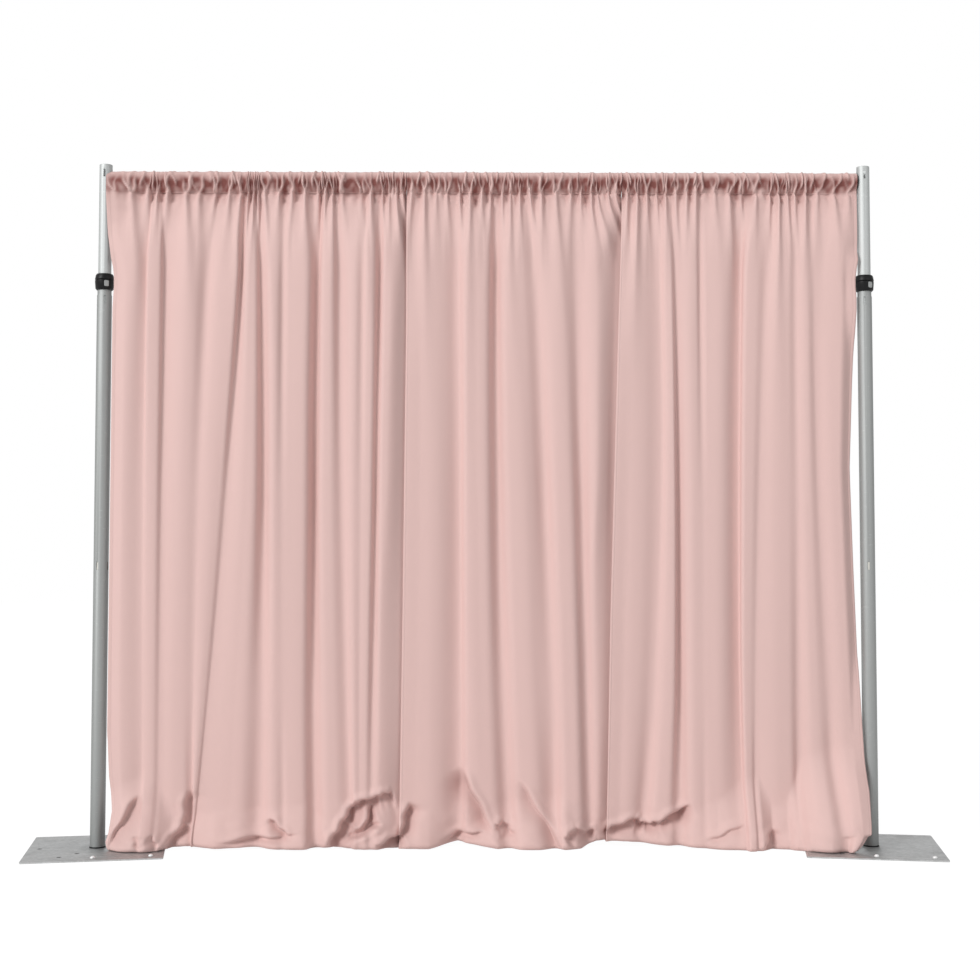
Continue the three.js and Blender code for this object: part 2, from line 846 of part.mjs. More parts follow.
// The pocket's path round the bar, [depth, height] of the cloth's middle plane, from front to back.
function pocketPath() {
  const clear = outerBarRadius + barSleeveLipRise + clothGap + clothThickness / 2;
  const round = clear / Math.cos(Math.PI / 2 / topArcSteps);
  const belly = mix(barHeight, stitchHeight, pocketBellyShare);
  const path = [[-round * pocketFlatShare, belly], [-round, barHeight]];
  for (let k = 1; k < topArcSteps; k += 1) {
    const angle = (Math.PI * k) / topArcSteps;
    path.push([-round * Math.cos(angle), barHeight + round * Math.sin(angle)]);
  }
  path.push([round, barHeight]);
  return path;
}

function drapePanel(k) {
  const rows = drapeRows(0).map((row, i) => panelRow(k, i, row.z));
  rows.push(panelRow(k, rows.length, stitchHeight));
  return sheet(rows[0].map((_, column) => drapeColumn(rows.map((row) => row[column]), k)));
}

function valleyPlace([top, middle, hem], fromStitch) {
  const down = THREE.MathUtils.clamp(fromStitch / foldDrop, 0, foldPlaceEnd);
  const bend = middle - (top + hem) / 2;
  return -half + axisSpan * (mix(top, hem, down) + 4 * bend * down * (1 - down));
}

// Where a panel's visible edge stands at the join after it
function joinPlace(k, fromStitch) {
  return -half + axisSpan * interpolate(panelJoinShares[k], fromStitch / (stitchHeight - hemClearance));
}

function valleyDepth([, , , ...depths], fromStitch) {
  const table = foldDepthShares.map((share, i) => [share, depths[i]]);
  return interpolate(table, fromStitch / (stitchHeight - hemClearance));
}

// Whether two valleys lie so near each other that the cloth between them has no flat crown
function crowded(first, second) {
  return first[7] + second[6] > crownRoomShare * axisSpan * (second[1] - first[1]);
}

// One row across a panel: places along the backdrop, each with how far the cloth there lies behind its front.
function panelRow(k, row, z) {
  const fromStitch = stitchHeight - z;
  const left = k ? joinPlace(k - 1, fromStitch) + pocketSideGap / 2 : -half;
  const join = k < lapWidths.length ? joinPlace(k, fromStitch) - pocketSideGap / 2 : half;
  const valleys = foldValleys[k].map((valley) => ({ x: valleyPlace(valley, fromStitch), valley }));
  const marks = [{ x: left, back: k ? 0 : foldCrown }];
  let shoulder = left;
  valleys.forEach(({ x, valley }, i) => {
    const [before, after] = valley.slice(6);
    const depth = valleyDepth(valley, fromStitch);
    const room = x - (i ? valleys[i - 1].x : left);
    const taken = before + (i ? valleys[i - 1].valley[7] : 0);
    const fit = Math.min(1, (flankRoomShare * room) / taken);
    const nextRoom = (i + 1 < valleys.length ? valleys[i + 1].x : join) - x;
    const nextTaken = after + (i + 1 < valleys.length ? valleys[i + 1].valley[6] : 0);
    const nextFit = Math.min(1, (flankRoomShare * nextRoom) / nextTaken);
    const sink = depth * flankSinkShare;
    const start = x - before * fit;
    const crown = !i || !crowded(foldValleys[k][i - 1], valley);
    if (crown) marks.push({ x: (shoulder + start) / 2, back: -foldCrown });
    marks.push({ x: start, back: 0 });
    if (before > narrowFlank) marks.push({ x: x - before * fit * flankMiddleShare, back: sink });
    marks.push({ x, back: depth });
    shoulder = x + after * nextFit;
    if (after > narrowFlank) marks.push({ x: x + after * nextFit * flankMiddleShare, back: sink });
    marks.push({ x: shoulder, back: 0 });
  });
  marks.push({ x: (shoulder + join) / 2, back: -foldCrown });
  if (k < lapWidths.length) {
    const lap = lapWidths[k] * ease(fromStitch, 0, lapEase);
    marks.push({ x: join, back: 0 }, { x: join + lap, back: 0 });
  } else {
    marks.push({ x: join, back: foldCrown });
  }
  const strength = foldStrength(fromStitch, z);
  return marks.map(({ x, back }) => ({ x, row, y: strength * back + lapPlace(k, x, left, join, z) }));
}

// Folds are shallow at the pocket and flatten again near the floor.
function foldStrength(fromStitch, z) {
  const top = mix(foldTopShare, 1, ease(fromStitch, 0, foldTopEase));
  return top * mix(foldFootShare, 1, ease(z, 0, foldFootEase));
}

// Below the pocket a panel's left side hem lies in front, and the end of the panel before it lies behind.
function lapPlace(k, x, left, join, z) {
  const grow = mix(lapStitchShare, 1, ease(stitchHeight - z, 0, lapGrowth));
  const drift = lapDrift * (1 - ease(z, 0, lapDriftHeight));
  const behind = k < lapWidths.length ? ease(x, join - lapTurn, join) * (lapBehind + drift) : 0;
  const front = k ? lapFront * (1 - ease(x, left, left + lapTurn)) : 0;
  return (behind - front) * grow;
}

// How far the front of the cloth hangs from the middle plane of the bar
function hangPlace(fromStitch) {
  const puff = puffDepth * ease(fromStitch, 0, puffEase);
  const faded = 1 - puffFadeShare * ease(fromStitch, puffFadeStart, puffFadeEnd);
  return hangDepth * ease(fromStitch, 0, hangEase) + puff * faded;
}

function drapeColumn(column, k) {
  const points = [];
  const wave = 1 + hemWaveShare * Math.sin((column[0].x / axisSpan) * hemWaveCount * 2 * Math.PI);
  for (const { x, y, row } of column.slice(0, -1)) {
    const { z, bulge } = drapeRows(x)[row];
    const fromStitch = stitchHeight - z;
    const place = sidePlace(x, fromStitch / (stitchHeight - hemHeight(x)), k);
    const free = y - hangPlace(fromStitch) - bulge * wave;
    points.push([place.x, mix(free, Math.min(free, place.y), place.hold), z]);
  }
  const top = column[column.length - 1];
  const place = sidePlace(top.x, 0, k);
  const stitch = mix(top.y, Math.min(top.y, place.y), place.hold);
  const keepOff = half - mastRadius - clothGap - clothThickness;
  const back = Math.min(Math.max(place.x, -keepOff), keepOff);
  points.push([place.x, stitch, stitchHeight]);
  pocketPath().forEach(([y, z], row) => {
    const front = row < pocketFrontRows;
    points.push(front ? [place.x, mix(y, Math.min(place.y, y), place.hold), z] : [back, y, z]);
  });
  const end = Math.max(stitch, 0) + clothThickness + clothGap;
  points.push([back, end, stitchHeight + clothGap]);
  return points;
}

function mix(from, to, share) {
  return from + (to - from) * share;
}

// Where the drape stands near an upright: its side hem follows the tube and keeps clear of the collar.
function sidePlace(x0, down, k) {
  const left = x0 < 0;
  const fromUpright = left ? x0 + half : half - x0;
  const near = 1 - ease(fromUpright, 0, edgeReach);
  if (near === 0) return { x: x0, y: 0, hold: 0 };
  const stand = drapeEdgeClearance * interpolate(left ? leftEdgeShares : rightEdgeShares, down);
  const y = -Math.sqrt(Math.max(drapeEdgeClearance ** 2 - stand ** 2, 0));
  return { x: x0 + (left ? stand : -stand) * near, y, hold: ease(near, 0, edgeHoldShare) };
}

// A closed sheet of cloth from columns of middle-plane points, half the thickness to each side.
function sheet(columns) {
  const [wide, tall] = [columns.length, columns[0].length];
  const within = (value, count) => Math.min(Math.max(value, 0), count - 1);
  const at = (i, j) => new THREE.Vector3(...columns[within(i, wide)][within(j, tall)]);
  const positions = [];
  for (const side of [1, -1]) {
    for (let i = 0; i < wide; i += 1) {
      for (let j = 0; j < tall; j += 1) {
        const across = at(i + 1, j).sub(at(i - 1, j));
        const along = at(i, j + 1).sub(at(i, j - 1));
        const normal = across.cross(along).normalize();
        const point = at(i, j).addScaledVector(normal, (side * clothThickness) / 2);
        positions.push(point.x, point.y, point.z);
      }
    }
  }
  const index = [];
  const id = (side, i, j) => side * wide * tall + i * tall + j;
  const quad = (a, b, c, d) => index.push(a, b, c, a, c, d);
  for (let i = 0; i < wide - 1; i += 1) {
    for (let j = 0; j < tall - 1; j += 1) {
      quad(id(0, i, j), id(0, i + 1, j), id(0, i + 1, j + 1), id(0, i, j + 1));
      quad(id(1, i, j), id(1, i, j + 1), id(1, i + 1, j + 1), id(1, i + 1, j));
    }
  }
  for (let i = 0; i < wide - 1; i += 1) {
    quad(id(0, i + 1, 0), id(0, i, 0), id(1, i, 0), id(1, i + 1, 0));
    quad(id(0, i, tall - 1), id(0, i + 1, tall - 1), id(1, i + 1, tall - 1), id(1, i, tall - 1));
  }
  for (let j = 0; j < tall - 1; j += 1) {
    quad(id(0, 0, j), id(0, 0, j + 1), id(1, 0, j + 1), id(1, 0, j));
    quad(id(0, wide - 1, j + 1), id(0, wide - 1, j), id(1, wide - 1, j), id(1, wide - 1, j + 1));
  }
  const geometry = new THREE.BufferGeometry();
  geometry.setAttribute('position', new THREE.Float32BufferAttribute(positions, 3));
  geometry.setIndex(index);
  return geometry;
}

function collar(side) {
  const group = new THREE.Group();
  group.position.set(0, 0, collarFloor);
  group.rotation.z = buttonTurn;
  group.add(
    node(`${side}_collar_body`, collarBody(), 'black'),
    node(`${side}_collar_cap`, collarCap(), 'black'),
    node(`${side}_collar_screw`, collarScrew(), 'zinc'),
    node(`${side}_release_button`, releaseButton(), 'zinc'),
    node(`${side}_brake_ring`, brakeRing(), 'zinc'),
    node(`${side}_brake_spring`, brakeSpring(), 'zinc'),
  );
  return group;
}

function base(side, turn) {
  const group = new THREE.Group();
  group.rotation.z = turn;
  group.add(
    node(`${side}_base_plate`, basePlate(), 'steel'),
    node(`${side}_base_pin`, basePin(), 'steel'),
    node(`${side}_pin_bolt`, pinBolt(), 'zinc'),
    node(`${side}_foot_ring`, footRing(), 'black'),
  );
  return group;
}

function upright(side, place, turn) {
  const group = new THREE.Group();
  group.position.set(place, 0, 0);
  group.add(
    base(side, turn),
    node(`${side}_lower_tube`, lowerTube(side), 'aluminium'),
    collar(side),
    node(`${side}_upper_tube`, mast(), 'aluminium'),
    node(`${side}_guide_bush`, guideBush(), 'nylon'),
  );
  return group;
}

function barEnd(side, radius) {
  const group = new THREE.Group();
  const right = side === 'right';
  group.position.set(right ? barStop : barStart, 0, barHeight);
  group.rotation.z = right ? Math.PI : 0;
  group.add(
    node(`${side}_bar_plug`, barPlug(radius), 'black'),
    node(`${side}_hook`, hookBlade(), 'zinc'),
    node(`${side}_hook_rivet`, rivet(radius), 'zinc'),
  );
  return group;
}

function crossbar() {
  const group = new THREE.Group();
  group.add(
    node('outer_bar', outerBar(), 'aluminium'),
    node('inner_bar', innerBar(), 'aluminium'),
    node('bar_sleeve', barSleeve(), 'nylon'),
    node('bar_bush', barBush(), 'nylon'),
    barEnd('left', outerBarRadius),
    barEnd('right', innerBarRadius),
  );
  return group;
}

function drapes() {
  const group = new THREE.Group();
  ['drape_left', 'drape_middle', 'drape_right'].forEach((name, k) => {
    group.add(node(name, drapePanel(k), 'drape'));
  });
  return group;
}

const backdrop = new THREE.Group();
backdrop.add(upright('left', -half, plateTurn), upright('right', half, -plateTurn), crossbar(), drapes());

export default backdrop;
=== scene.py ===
import json
import math

import bpy
import numpy as np
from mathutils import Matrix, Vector, noise


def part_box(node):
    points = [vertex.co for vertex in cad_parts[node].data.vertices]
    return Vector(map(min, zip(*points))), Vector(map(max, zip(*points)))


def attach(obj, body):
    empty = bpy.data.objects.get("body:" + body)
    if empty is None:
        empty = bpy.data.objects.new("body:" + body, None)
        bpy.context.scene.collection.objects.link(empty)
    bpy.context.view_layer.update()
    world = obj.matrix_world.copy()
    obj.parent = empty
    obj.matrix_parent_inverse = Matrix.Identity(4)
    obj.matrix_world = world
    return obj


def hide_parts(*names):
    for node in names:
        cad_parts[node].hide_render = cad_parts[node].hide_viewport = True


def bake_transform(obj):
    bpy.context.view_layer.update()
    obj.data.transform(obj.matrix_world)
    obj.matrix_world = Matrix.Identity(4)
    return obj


bl_info = {
    "name": "Pipe and Drape Backdrop",
    "version": (1, 0, 0),
    "blender": (4, 5, 0),
    "location": "View3D > Sidebar > Backdrop",
    "description": "Dresses the packed backdrop: gathered drapes, telescoping uprights, collars and bases",
    "category": "Object",
}

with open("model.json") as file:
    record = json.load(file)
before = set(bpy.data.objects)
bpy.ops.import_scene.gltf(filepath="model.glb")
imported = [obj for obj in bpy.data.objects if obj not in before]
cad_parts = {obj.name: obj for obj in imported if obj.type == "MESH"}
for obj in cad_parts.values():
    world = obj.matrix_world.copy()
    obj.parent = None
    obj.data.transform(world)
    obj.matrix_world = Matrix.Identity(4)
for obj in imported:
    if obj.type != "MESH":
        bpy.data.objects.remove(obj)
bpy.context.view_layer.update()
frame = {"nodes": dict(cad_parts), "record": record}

SIDES = ("left", "right")

# Places that the frame gives: the uprights' axes, the top of the base plates and the bar
LEFT_AXIS = sum(corner[0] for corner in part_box("left_upper_tube")) / 2
RIGHT_AXIS = sum(corner[0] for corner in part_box("right_upper_tube")) / 2
AXES = {"left": LEFT_AXIS, "right": RIGHT_AXIS}
PLATE_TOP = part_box("left_base_plate")[1][2]
BAR_LOW, BAR_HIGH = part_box("outer_bar")
BAR_CENTRE = (BAR_LOW[2] + BAR_HIGH[2]) / 2
BAR_RADIUS = (BAR_HIGH[2] - BAR_LOW[2]) / 2

# Holes of the base plates, measured from the pin before the plate turns: bright studs fill the front ones
PLATE_TURNS = {"left": math.radians(9.5), "right": math.radians(-9.5)}
STUD_PLACES = ((0.0, -0.187), (0.187, -0.187))
# Open holes: the plates get painted shade round each, out to the radius below
HOLE_PLACES = ((-0.190, 0.0), (-0.058, -0.103), (-0.110, -0.160))
HOLE_SHADE_RADIUS = 0.0085
STUD_RADIUS = 0.0085
STUD_HEIGHT = 0.007
STUD_SINK = 0.0003
STUD_RINGS = 6
STUD_SIDES = 24

# How far the edges of the finished pieces are softened, and how the copies are cleaned
TUBE_EDGE = 0.0003
BUTTON_EDGE = 0.0005
COLLAR_EDGE = 0.0006
PLATE_EDGE = 0.0008
EDGE_SEGMENTS = 2
WELD = 0.000002
FLAT_ANGLE = math.radians(1)
SMOOTH_ANGLE = math.radians(35)
EDGE_ANGLE = math.radians(40)

# The stage: the floor's size, how far it lies under the pieces and its brightness as plain white, then each
# light's size, place and aim
FLOOR_SIZE = 60
FLOOR_LEVEL = -0.0005
FLOOR_GLOW = 1.13
KEY_LIGHT = (10.6, (-18.4, -18.6, 15.2), (0, 0, 1.1))
FILL_LIGHT = (3.0, (4.2, -4.4, 3.4), (0, 0, 1.2))
SENSOR_WIDTH = 36
VIEW_END = 100


def colour_setting(name, description, default):
    """A colour that the side panel shows."""
    return bpy.props.FloatVectorProperty(
        name=name, description=description, default=default, min=0, max=1, size=3, subtype="COLOR")


def number_setting(name, description, default, **details):
    """A number that the side panel shows, with its limits or its unit."""
    return bpy.props.FloatProperty(name=name, description=description, default=default, **details)


def length_setting(name, description, default):
    """A length in metres that the side panel shows."""
    return number_setting(name, description, default, unit="LENGTH")


class StageSettings(bpy.types.PropertyGroup):
    floor_colour: colour_setting(
        "Floor colour", "Colour of the plain floor and the background", (0.8, 0.8, 0.8))
    floor_white: number_setting(
        "Floor white", "How far the floor shows as plain white to the camera", 0.85, min=0, max=1)
    world_strength: number_setting(
        "Ambient level", "Strength of the even light from all round", 0.325, min=0)
    gloss_strength: number_setting(
        "Reflected level", "Strength of the surroundings that metal reflects", 0.74, min=0)
    key_power: number_setting(
        "Key light", "Power of the large light at the upper left", 6150, min=0, unit="POWER")
    fill_power: number_setting(
        "Fill light", "Power of the large light at the right", 45, min=0, unit="POWER")
    camera_distance: length_setting(
        "Camera distance", "From the camera to the plane of the uprights", 5.129)
    camera_height: length_setting("Camera height", "Above the floor", 0.975)
    camera_side: length_setting("Camera offset", "Sideways from the middle of the backdrop", -0.036)
    camera_pitch: number_setting("Camera pitch", "Above the horizon", math.radians(2.81), unit="ROTATION")
    camera_yaw: number_setting("Camera yaw", "Towards the right", math.radians(0.58), unit="ROTATION")
    lens: number_setting("Lens", "Focal length on a 36 mm wide sensor", 54.44, unit="CAMERA")


class FinishSettings(bpy.types.PropertyGroup):
    aluminium: colour_setting("Tube aluminium", "Colour of the satin tubes", (0.52, 0.535, 0.53))
    worn: colour_setting("Worn aluminium", "Colour of the duller lower tubes", (0.365, 0.375, 0.37))
    steel: colour_setting("Galvanised steel", "Colour of the base plates", (0.5, 0.505, 0.505))
    zinc: colour_setting("Zinc plating", "Colour of hooks and fasteners", (0.62, 0.63, 0.64))
    # The studs' near-white colour is a painted highlight for the glint of plated heads
    studs: colour_setting("Studs", "Colour of the bright studs in the base plates", (0.93, 0.93, 0.93))
    collar: colour_setting("Collar plastic", "Colour of the slip-lock collars", (0.006, 0.006, 0.0065))
    nylon: colour_setting("Nylon", "Colour of the guide bushes and the bar's sleeve", (0.66, 0.65, 0.6))


class DrapeSettings(bpy.types.PropertyGroup):
    cloth: colour_setting("Cloth", "Colour of the cloth", (0.73, 0.51, 0.478))
    # The colour of the painted shade in the gathers and the hollows
    painted_shade: colour_setting("Crease", "Colour of the cloth deep in a gather", (0.235, 0.083, 0.072))
    flat_width: length_setting("Panel width", "Width that each panel is cut to", 1.22)
    thickness: length_setting("Cloth thickness", "Thickness of the cloth", 0.0008)
    spare_length: length_setting("Spare length", "Cloth turned under on the floor", 0.05)
    hem_radius: length_setting("Hem radius", "Radius at which the cloth turns under", 0.016)
    pocket_height: length_setting(
        "Pocket height", "From the top of the bar's pocket to its stitched line", 0.0735)
    pleat_depth: length_setting("Pleat depth", "Depth of the small pleats below the pocket", 0.018)
    puff_depth: length_setting(
        "Puff depth", "How far the cloth swells forward just below the pocket", 0.016)
    tuck_depth: length_setting("Tuck depth", "Height of the ridges in the gathered pocket", 0.009)
    tuck_spacing: length_setting(
        "Tuck spacing", "Flat cloth from one pinch of the stitched line to the next", 0.046)


# Drape panels. Each fold valley has its place at the header, half-way down and at the hem, then its depth at
# the four depth levels, and how wide its left and right flank look from the front: a narrow flank is a fold
# that laps over.
HEADER_LEVEL = 2.25
MIDDLE_LEVEL = 1.2
HEM_LEVEL = 0.2
DEPTH_LEVELS = (1.96, 1.2, 0.5, 0.14)
PLACES = slice(0, 3)
DEPTHS = slice(3, 7)
LEFT_FLANK, RIGHT_FLANK = 7, 8

PANELS = {
    "drape_left": (
        (-1.169, -1.178, -1.170, 0.016, 0.004, 0.001, 0.006, 0.060, 0.010),
        (-1.114, -1.112, -1.112, 0.018, 0.008, 0.004, 0.005, 0.018, 0.090),
        (-0.950, -0.990, -1.000, 0.012, 0.002, 0.002, 0.014, 0.030, 0.040),
        (-0.838, -0.889, -0.975, 0.022, 0.007, 0.003, 0.003, 0.012, 0.070),
        (-0.785, -0.766, -0.770, 0.024, 0.028, 0.014, 0.034, 0.040, 0.052),
        (-0.700, -0.700, -0.690, 0.010, 0.001, 0.000, 0.006, 0.020, 0.020),
        (-0.580, -0.592, -0.585, 0.034, 0.037, 0.026, 0.036, 0.042, 0.044),
        (-0.510, -0.494, -0.465, 0.024, 0.013, 0.010, 0.014, 0.040, 0.055),
        (-0.420, -0.430, -0.430, 0.009, 0.001, 0.001, 0.000, 0.020, 0.016),
        (-0.364, -0.378, -0.388, 0.021, 0.021, 0.014, 0.006, 0.024, 0.024),
    ),
    "drape_middle": (
        (-0.102, -0.092, -0.092, 0.016, 0.023, 0.019, 0.032, 0.095, 0.030),
        (0.035, 0.040, 0.075, 0.027, 0.028, 0.020, 0.036, 0.044, 0.052),
        (0.158, 0.204, 0.235, 0.012, 0.025, 0.011, 0.032, 0.080, 0.050),
        (0.316, 0.332, 0.353, 0.010, 0.029, 0.021, 0.030, 0.050, 0.056),
    ),
    "drape_right": (
        (0.595, 0.606, 0.550, 0.006, 0.007, 0.008, 0.026, 0.095, 0.022),
        (0.661, 0.665, 0.667, 0.017, 0.024, 0.030, 0.026, 0.018, 0.060),
        (0.745, 0.750, 0.750, 0.010, 0.001, 0.000, 0.003, 0.020, 0.018),
        (0.894, 0.876, 0.879, 0.030, 0.025, 0.024, 0.018, 0.095, 0.018),
        (0.992, 0.948, 0.925, 0.008, 0.006, 0.003, 0.012, 0.028, 0.085),
        (1.078, 1.078, 1.078, 0.005, 0.004, 0.012, 0.024, 0.026, 0.035),
        (1.150, 1.153, 1.200, 0.006, 0.005, 0.007, 0.026, 0.035, 0.060),
    ),
}

# Side hems: places of the outer edges and of the two joins, at heights from the header down
EDGE_LEVELS = (2.34, 2.25, 2.12, 2.037, 1.985, 1.93, 1.86, 0.4, 0.25, 0.13, 0.06, 0.03, 0.0)
LEFT_EDGE = (
    -1.320, -1.318, -1.311, -1.299, -1.2885, -1.2885, -1.2915, -1.2915, -1.284, -1.268, -1.271, -1.280,
    -1.273,
)
RIGHT_LEVELS = (2.34, 2.02, 1.985, 1.92, 1.88, 1.6, 1.3, 0.95, 0.5, 0.2, 0.055, 0.03, 0.0)
RIGHT_EDGE = (1.301, 1.298, 1.290, 1.290, 1.293, 1.278, 1.266, 1.275, 1.290, 1.302, 1.292, 1.270, 1.240)
JOIN_LEVELS = (2.34, 1.78, 0.78, 0.0)
FIRST_JOIN = (-0.275, -0.275, -0.285, -0.295)
SECOND_JOIN = (0.480, 0.460, 0.429, 0.412)
JOIN_GAP = 0.001

# Laps: how far each panel reaches behind the next one, how far below the stitched line the lap opens, how
# far from the join the cloth starts to run back, high up and low down, and how deep it runs
LAP_WIDTHS = (0.06, 0.12, 0.0)
LAP_OPENS = (0, 0.25)
LAP_REACH = 0.06
LAP_EASE = (0.035, 0.080)
LAP_EASES = (0.6, 1.3)
LAP_END = 0.004
LAP_DEPTH = 0.028
LAP_DEPTH_LOW = 0.012
LAP_DEEPENS = (0.0, 0.5)
LAP_FRONT = 0.006
LAP_FRONT_REACH = 0.06
LAP_LEAST = 0.35
LAP_GROWS = (0, 0.12)

# Outer side hems: how far they turn back, over how much cloth, and how they keep clear of the uprights
LEFT_CURL, LEFT_CURL_FRONT, LEFT_CURL_REACH = 0.022, 0.018, 0.05
RIGHT_CURL, RIGHT_CURL_REACH = 0.026, 0.045
CURL_GROWS = (0.02, 0.35)
EDGE_CLEARANCE = 0.040
MAST_EDGE_CLEARANCE = 0.0255
COLLAR_REACH = (2.02, 2.07)
TUBE_CLEARANCE = 0.0246
EDGE_REACH = (0.03, 0.12)

# The pocket round the bar, and how the cloth hangs below it
POCKET_SLACK = 0.004
POCKET_ROOM = 0.0046
POCKET_CLOTH = 0.165
POCKET_START = 0.012
POCKET_HOLD = 0.3
HANG_DEPTH = 0.024
HANG_EASE = 0.22
PUFF_RISES = (-0.004, 0.022)
PUFF_FADES = (0.03, 0.3)
PUFF_FADE = 0.55
FOLDS_START = (-0.02, 0.05)

# Folds: how far down a valley's line runs on, how its depth grows below the header, shrinks at the floor and
# varies, how the front stretches bow, and how a flank leans and turns. Each ripple has its turn, its number
# to a panel, how it drifts with the height, and a seed
VALLEY_END = 1.08
VALLEY_GROWS = (-0.02, 0.3)
VALLEY_LEAST = 0.15
FLOOR_EASES = (0.0, 0.8)
FLOOR_SHARE = 0.66
VALLEY_VARIES = 0.16
VALLEY_VARIES_SCALE = 1.3
CROWN_TURN = 0.3
RIPPLES = ((0.16, 11, 0.4, 3), (0.10, 29, 0.5, 5))
FLANK_LEAN = 10
FLANK_STEPS = 65
FLANK_TRIES = 40
STEEPEST_TURN = 2.3

# Pinches of the stitched line: how far they stray, with its noise step and seed, and which have a longer
# pleat. Then the middle, spread, noise step and seed of their lean, reach and force, and the stitched line's
# scallops: their depth, and the depth, width and seed of its two waves
PINCH_STRAY = 0.36
PINCH_STEP = 1.37
PINCH_SEED = 41
LONG_PLEAT_EVERY = 4
LONG_PLEAT = 0.35
PINCH_TRAITS = ((0.5, 0.5, 2.1, 47), (0.15, 0.13, 1.9, 53), (0.75, 0.5, 2.7, 59))
SCALLOP_DEPTH = 0.022
SCALLOPS = ((0.030, 0.03, 67), (0.018, 0.11, 71))

# Small pleats: width and how it grows, how soon they fade, how they lean, and how much steeper one side is
PLEAT_WIDTH = 0.0085
PLEAT_WIDENS = 0.07
PLEAT_FADE = 1.3
PLEAT_SHORTEST = 0.03
PLEAT_LEAN = 0.3
PLEAT_STEEP = 0.75
PLEAT_MIDDLE = 0.35
SCALLOP_MIDDLE = 0.45
PLEAT_LEAST = 0.45
PLEAT_GROWS = (0, 0.02)

# Ridges in the pocket: how many from each pinch, then for lean, force, bend and width a middle value and how
# far it strays
RIDGES_EACH = 3
RIDGE_LEAN = (0.017, 0.034)
RIDGE_FORCE = (0.8, 0.9)
RIDGE_BEND = (0.4, 0.9)
RIDGE_WIDTH = (0.0036, 0.0022)
RIDGE_STRAY = 0.005
HIGH_RIDGE_STRAY = (0.5, 0.5)
RIDGE_STEP = 1.63
RIDGE_SEEDS = 100
RIDGE_SEED = 0.37

# How a ridge runs up the pocket, in shares of the way to the top of the bar; each pair is a value and how it
# grows with the ridge's bend or the height
RIDGE_CURVE = (0.7, 0.5)
RIDGE_WAVE, RIDGE_WAVES, RIDGE_WAVE_SHIFT = 0.003, 9, 20
HIGH_RIDGE_STARTS = (0.05, 0.4)
HIGH_RIDGE_FULL = (0.3, 0.4)
RIDGE_FADE = 0.8
RIDGE_FADES = (0.15, 0.5)
RIDGE_FADED = (0.6, 0.5)
RIDGE_THINNEST = 0.0034
RIDGE_SPREADS = (0.85, 0.5)
RIDGE_SOFTNESS = 0.3
RIDGE_SOFT_WIDTH = 0.018
RIDGE_SOFT_SEED = 61
TUCKS_START = (-0.004, 0.012)
TOP_FADE = 0.6
TOP_FADES = (0.5, 1.0)
POCKET_SINK = 0.2

# The hem on the floor: places along the backdrop, how far the cloth is thrown forward there, and how far it
# is held up
HEM_PLACES = (
    (-1.313, 0.050, 0.000), (-1.258, 0.060, 0.000), (-1.161, 0.085, 0.000), (-1.105, 0.060, 0.000),
    (-1.064, 0.020, 0.008), (-1.022, 0.010, 0.012), (-0.919, 0.030, 0.006), (-0.815, 0.020, 0.010),
    (-0.694, 0.030, 0.004), (-0.607, 0.035, 0.004), (-0.517, 0.005, 0.008), (-0.469, 0.030, 0.004),
    (-0.382, 0.035, 0.004), (-0.296, 0.030, 0.002), (-0.192, 0.020, 0.000), (-0.140, 0.000, 0.010),
    (-0.095, -0.010, 0.018), (-0.039, 0.000, 0.012), (0.044, 0.030, 0.000), (0.154, 0.040, 0.000),
    (0.258, 0.050, 0.000), (0.327, 0.020, 0.000), (0.383, -0.010, 0.018), (0.431, -0.010, 0.022),
    (0.487, -0.005, 0.020), (0.535, 0.000, 0.014), (0.622, 0.010, 0.008), (0.708, 0.020, 0.004),
    (0.791, 0.035, 0.000), (0.874, 0.070, 0.000), (0.937, 0.080, 0.000), (0.978, 0.030, 0.000),
    (1.033, 0.040, 0.000), (1.089, 0.110, 0.000), (1.158, 0.125, 0.000), (1.262, 0.130, 0.000),
    (1.317, 0.110, 0.008),
)
THROW_HEIGHT = 0.10
THROW_SLOPE = 2.0

# Hollows near the hem, each a line from one place and height to another: the cloth is sunk in by a depth on
# the line's right-hand side, eases out over a reach, and bulges a little on the line's other side
HOLLOWS = (
    (-1.263, 0.036, -1.193, 0.165, 0.024, 0.058),
    (-1.120, 0.050, -1.099, 0.010, 0.013, 0.024),
    (-1.170, 0.008, -1.184, 0.048, 0.013, 0.027),
    (-1.090, 0.005, -1.025, 0.077, 0.031, 0.038),
    (-1.025, 0.077, -1.018, 0.180, 0.021, 0.038),
    (-0.865, 0.026, -0.669, 0.048, 0.022, 0.022),
    (-0.722, 0.098, -0.669, 0.048, 0.028, 0.030),
    (-0.531, 0.014, -0.482, 0.095, 0.042, 0.060),
    (-0.482, 0.095, -0.448, 0.155, 0.042, 0.060),
    (-0.448, 0.155, -0.368, 0.180, 0.038, 0.055),
    (-0.368, 0.180, -0.327, 0.193, 0.030, 0.045),
    (-0.413, 0.060, -0.392, 0.150, 0.046, 0.026),
    (-0.368, 0.075, -0.469, 0.025, 0.040, 0.032),
    (-0.358, 0.018, -0.289, 0.050, 0.042, 0.036),
    (-0.289, 0.050, -0.268, 0.140, 0.036, 0.036),
    (-0.067, 0.240, 0.012, 0.080, 0.034, 0.055),
    (0.037, 0.080, 0.064, 0.090, 0.018, 0.036),
    (0.064, 0.090, 0.095, 0.055, 0.018, 0.036),
    (-0.133, 0.024, -0.015, 0.048, 0.022, 0.022),
    (0.140, 0.195, 0.255, 0.015, 0.020, 0.040),
    (0.272, 0.045, 0.307, 0.068, 0.026, 0.036),
    (0.307, 0.068, 0.369, 0.042, 0.026, 0.036),
    (0.421, 0.045, 0.511, 0.085, 0.034, 0.036),
    (0.511, 0.085, 0.545, 0.070, 0.034, 0.036),
    (0.545, 0.070, 0.590, 0.080, 0.034, 0.036),
    (0.590, 0.080, 0.684, 0.135, 0.036, 0.036),
    (0.767, 0.035, 0.864, 0.080, 0.012, 0.022),
    (0.950, 0.006, 0.968, 0.060, 0.024, 0.030),
)
HOLLOW_STARTS = (-0.25, 0.15)
HOLLOW_ENDS = (0.85, 1.25)
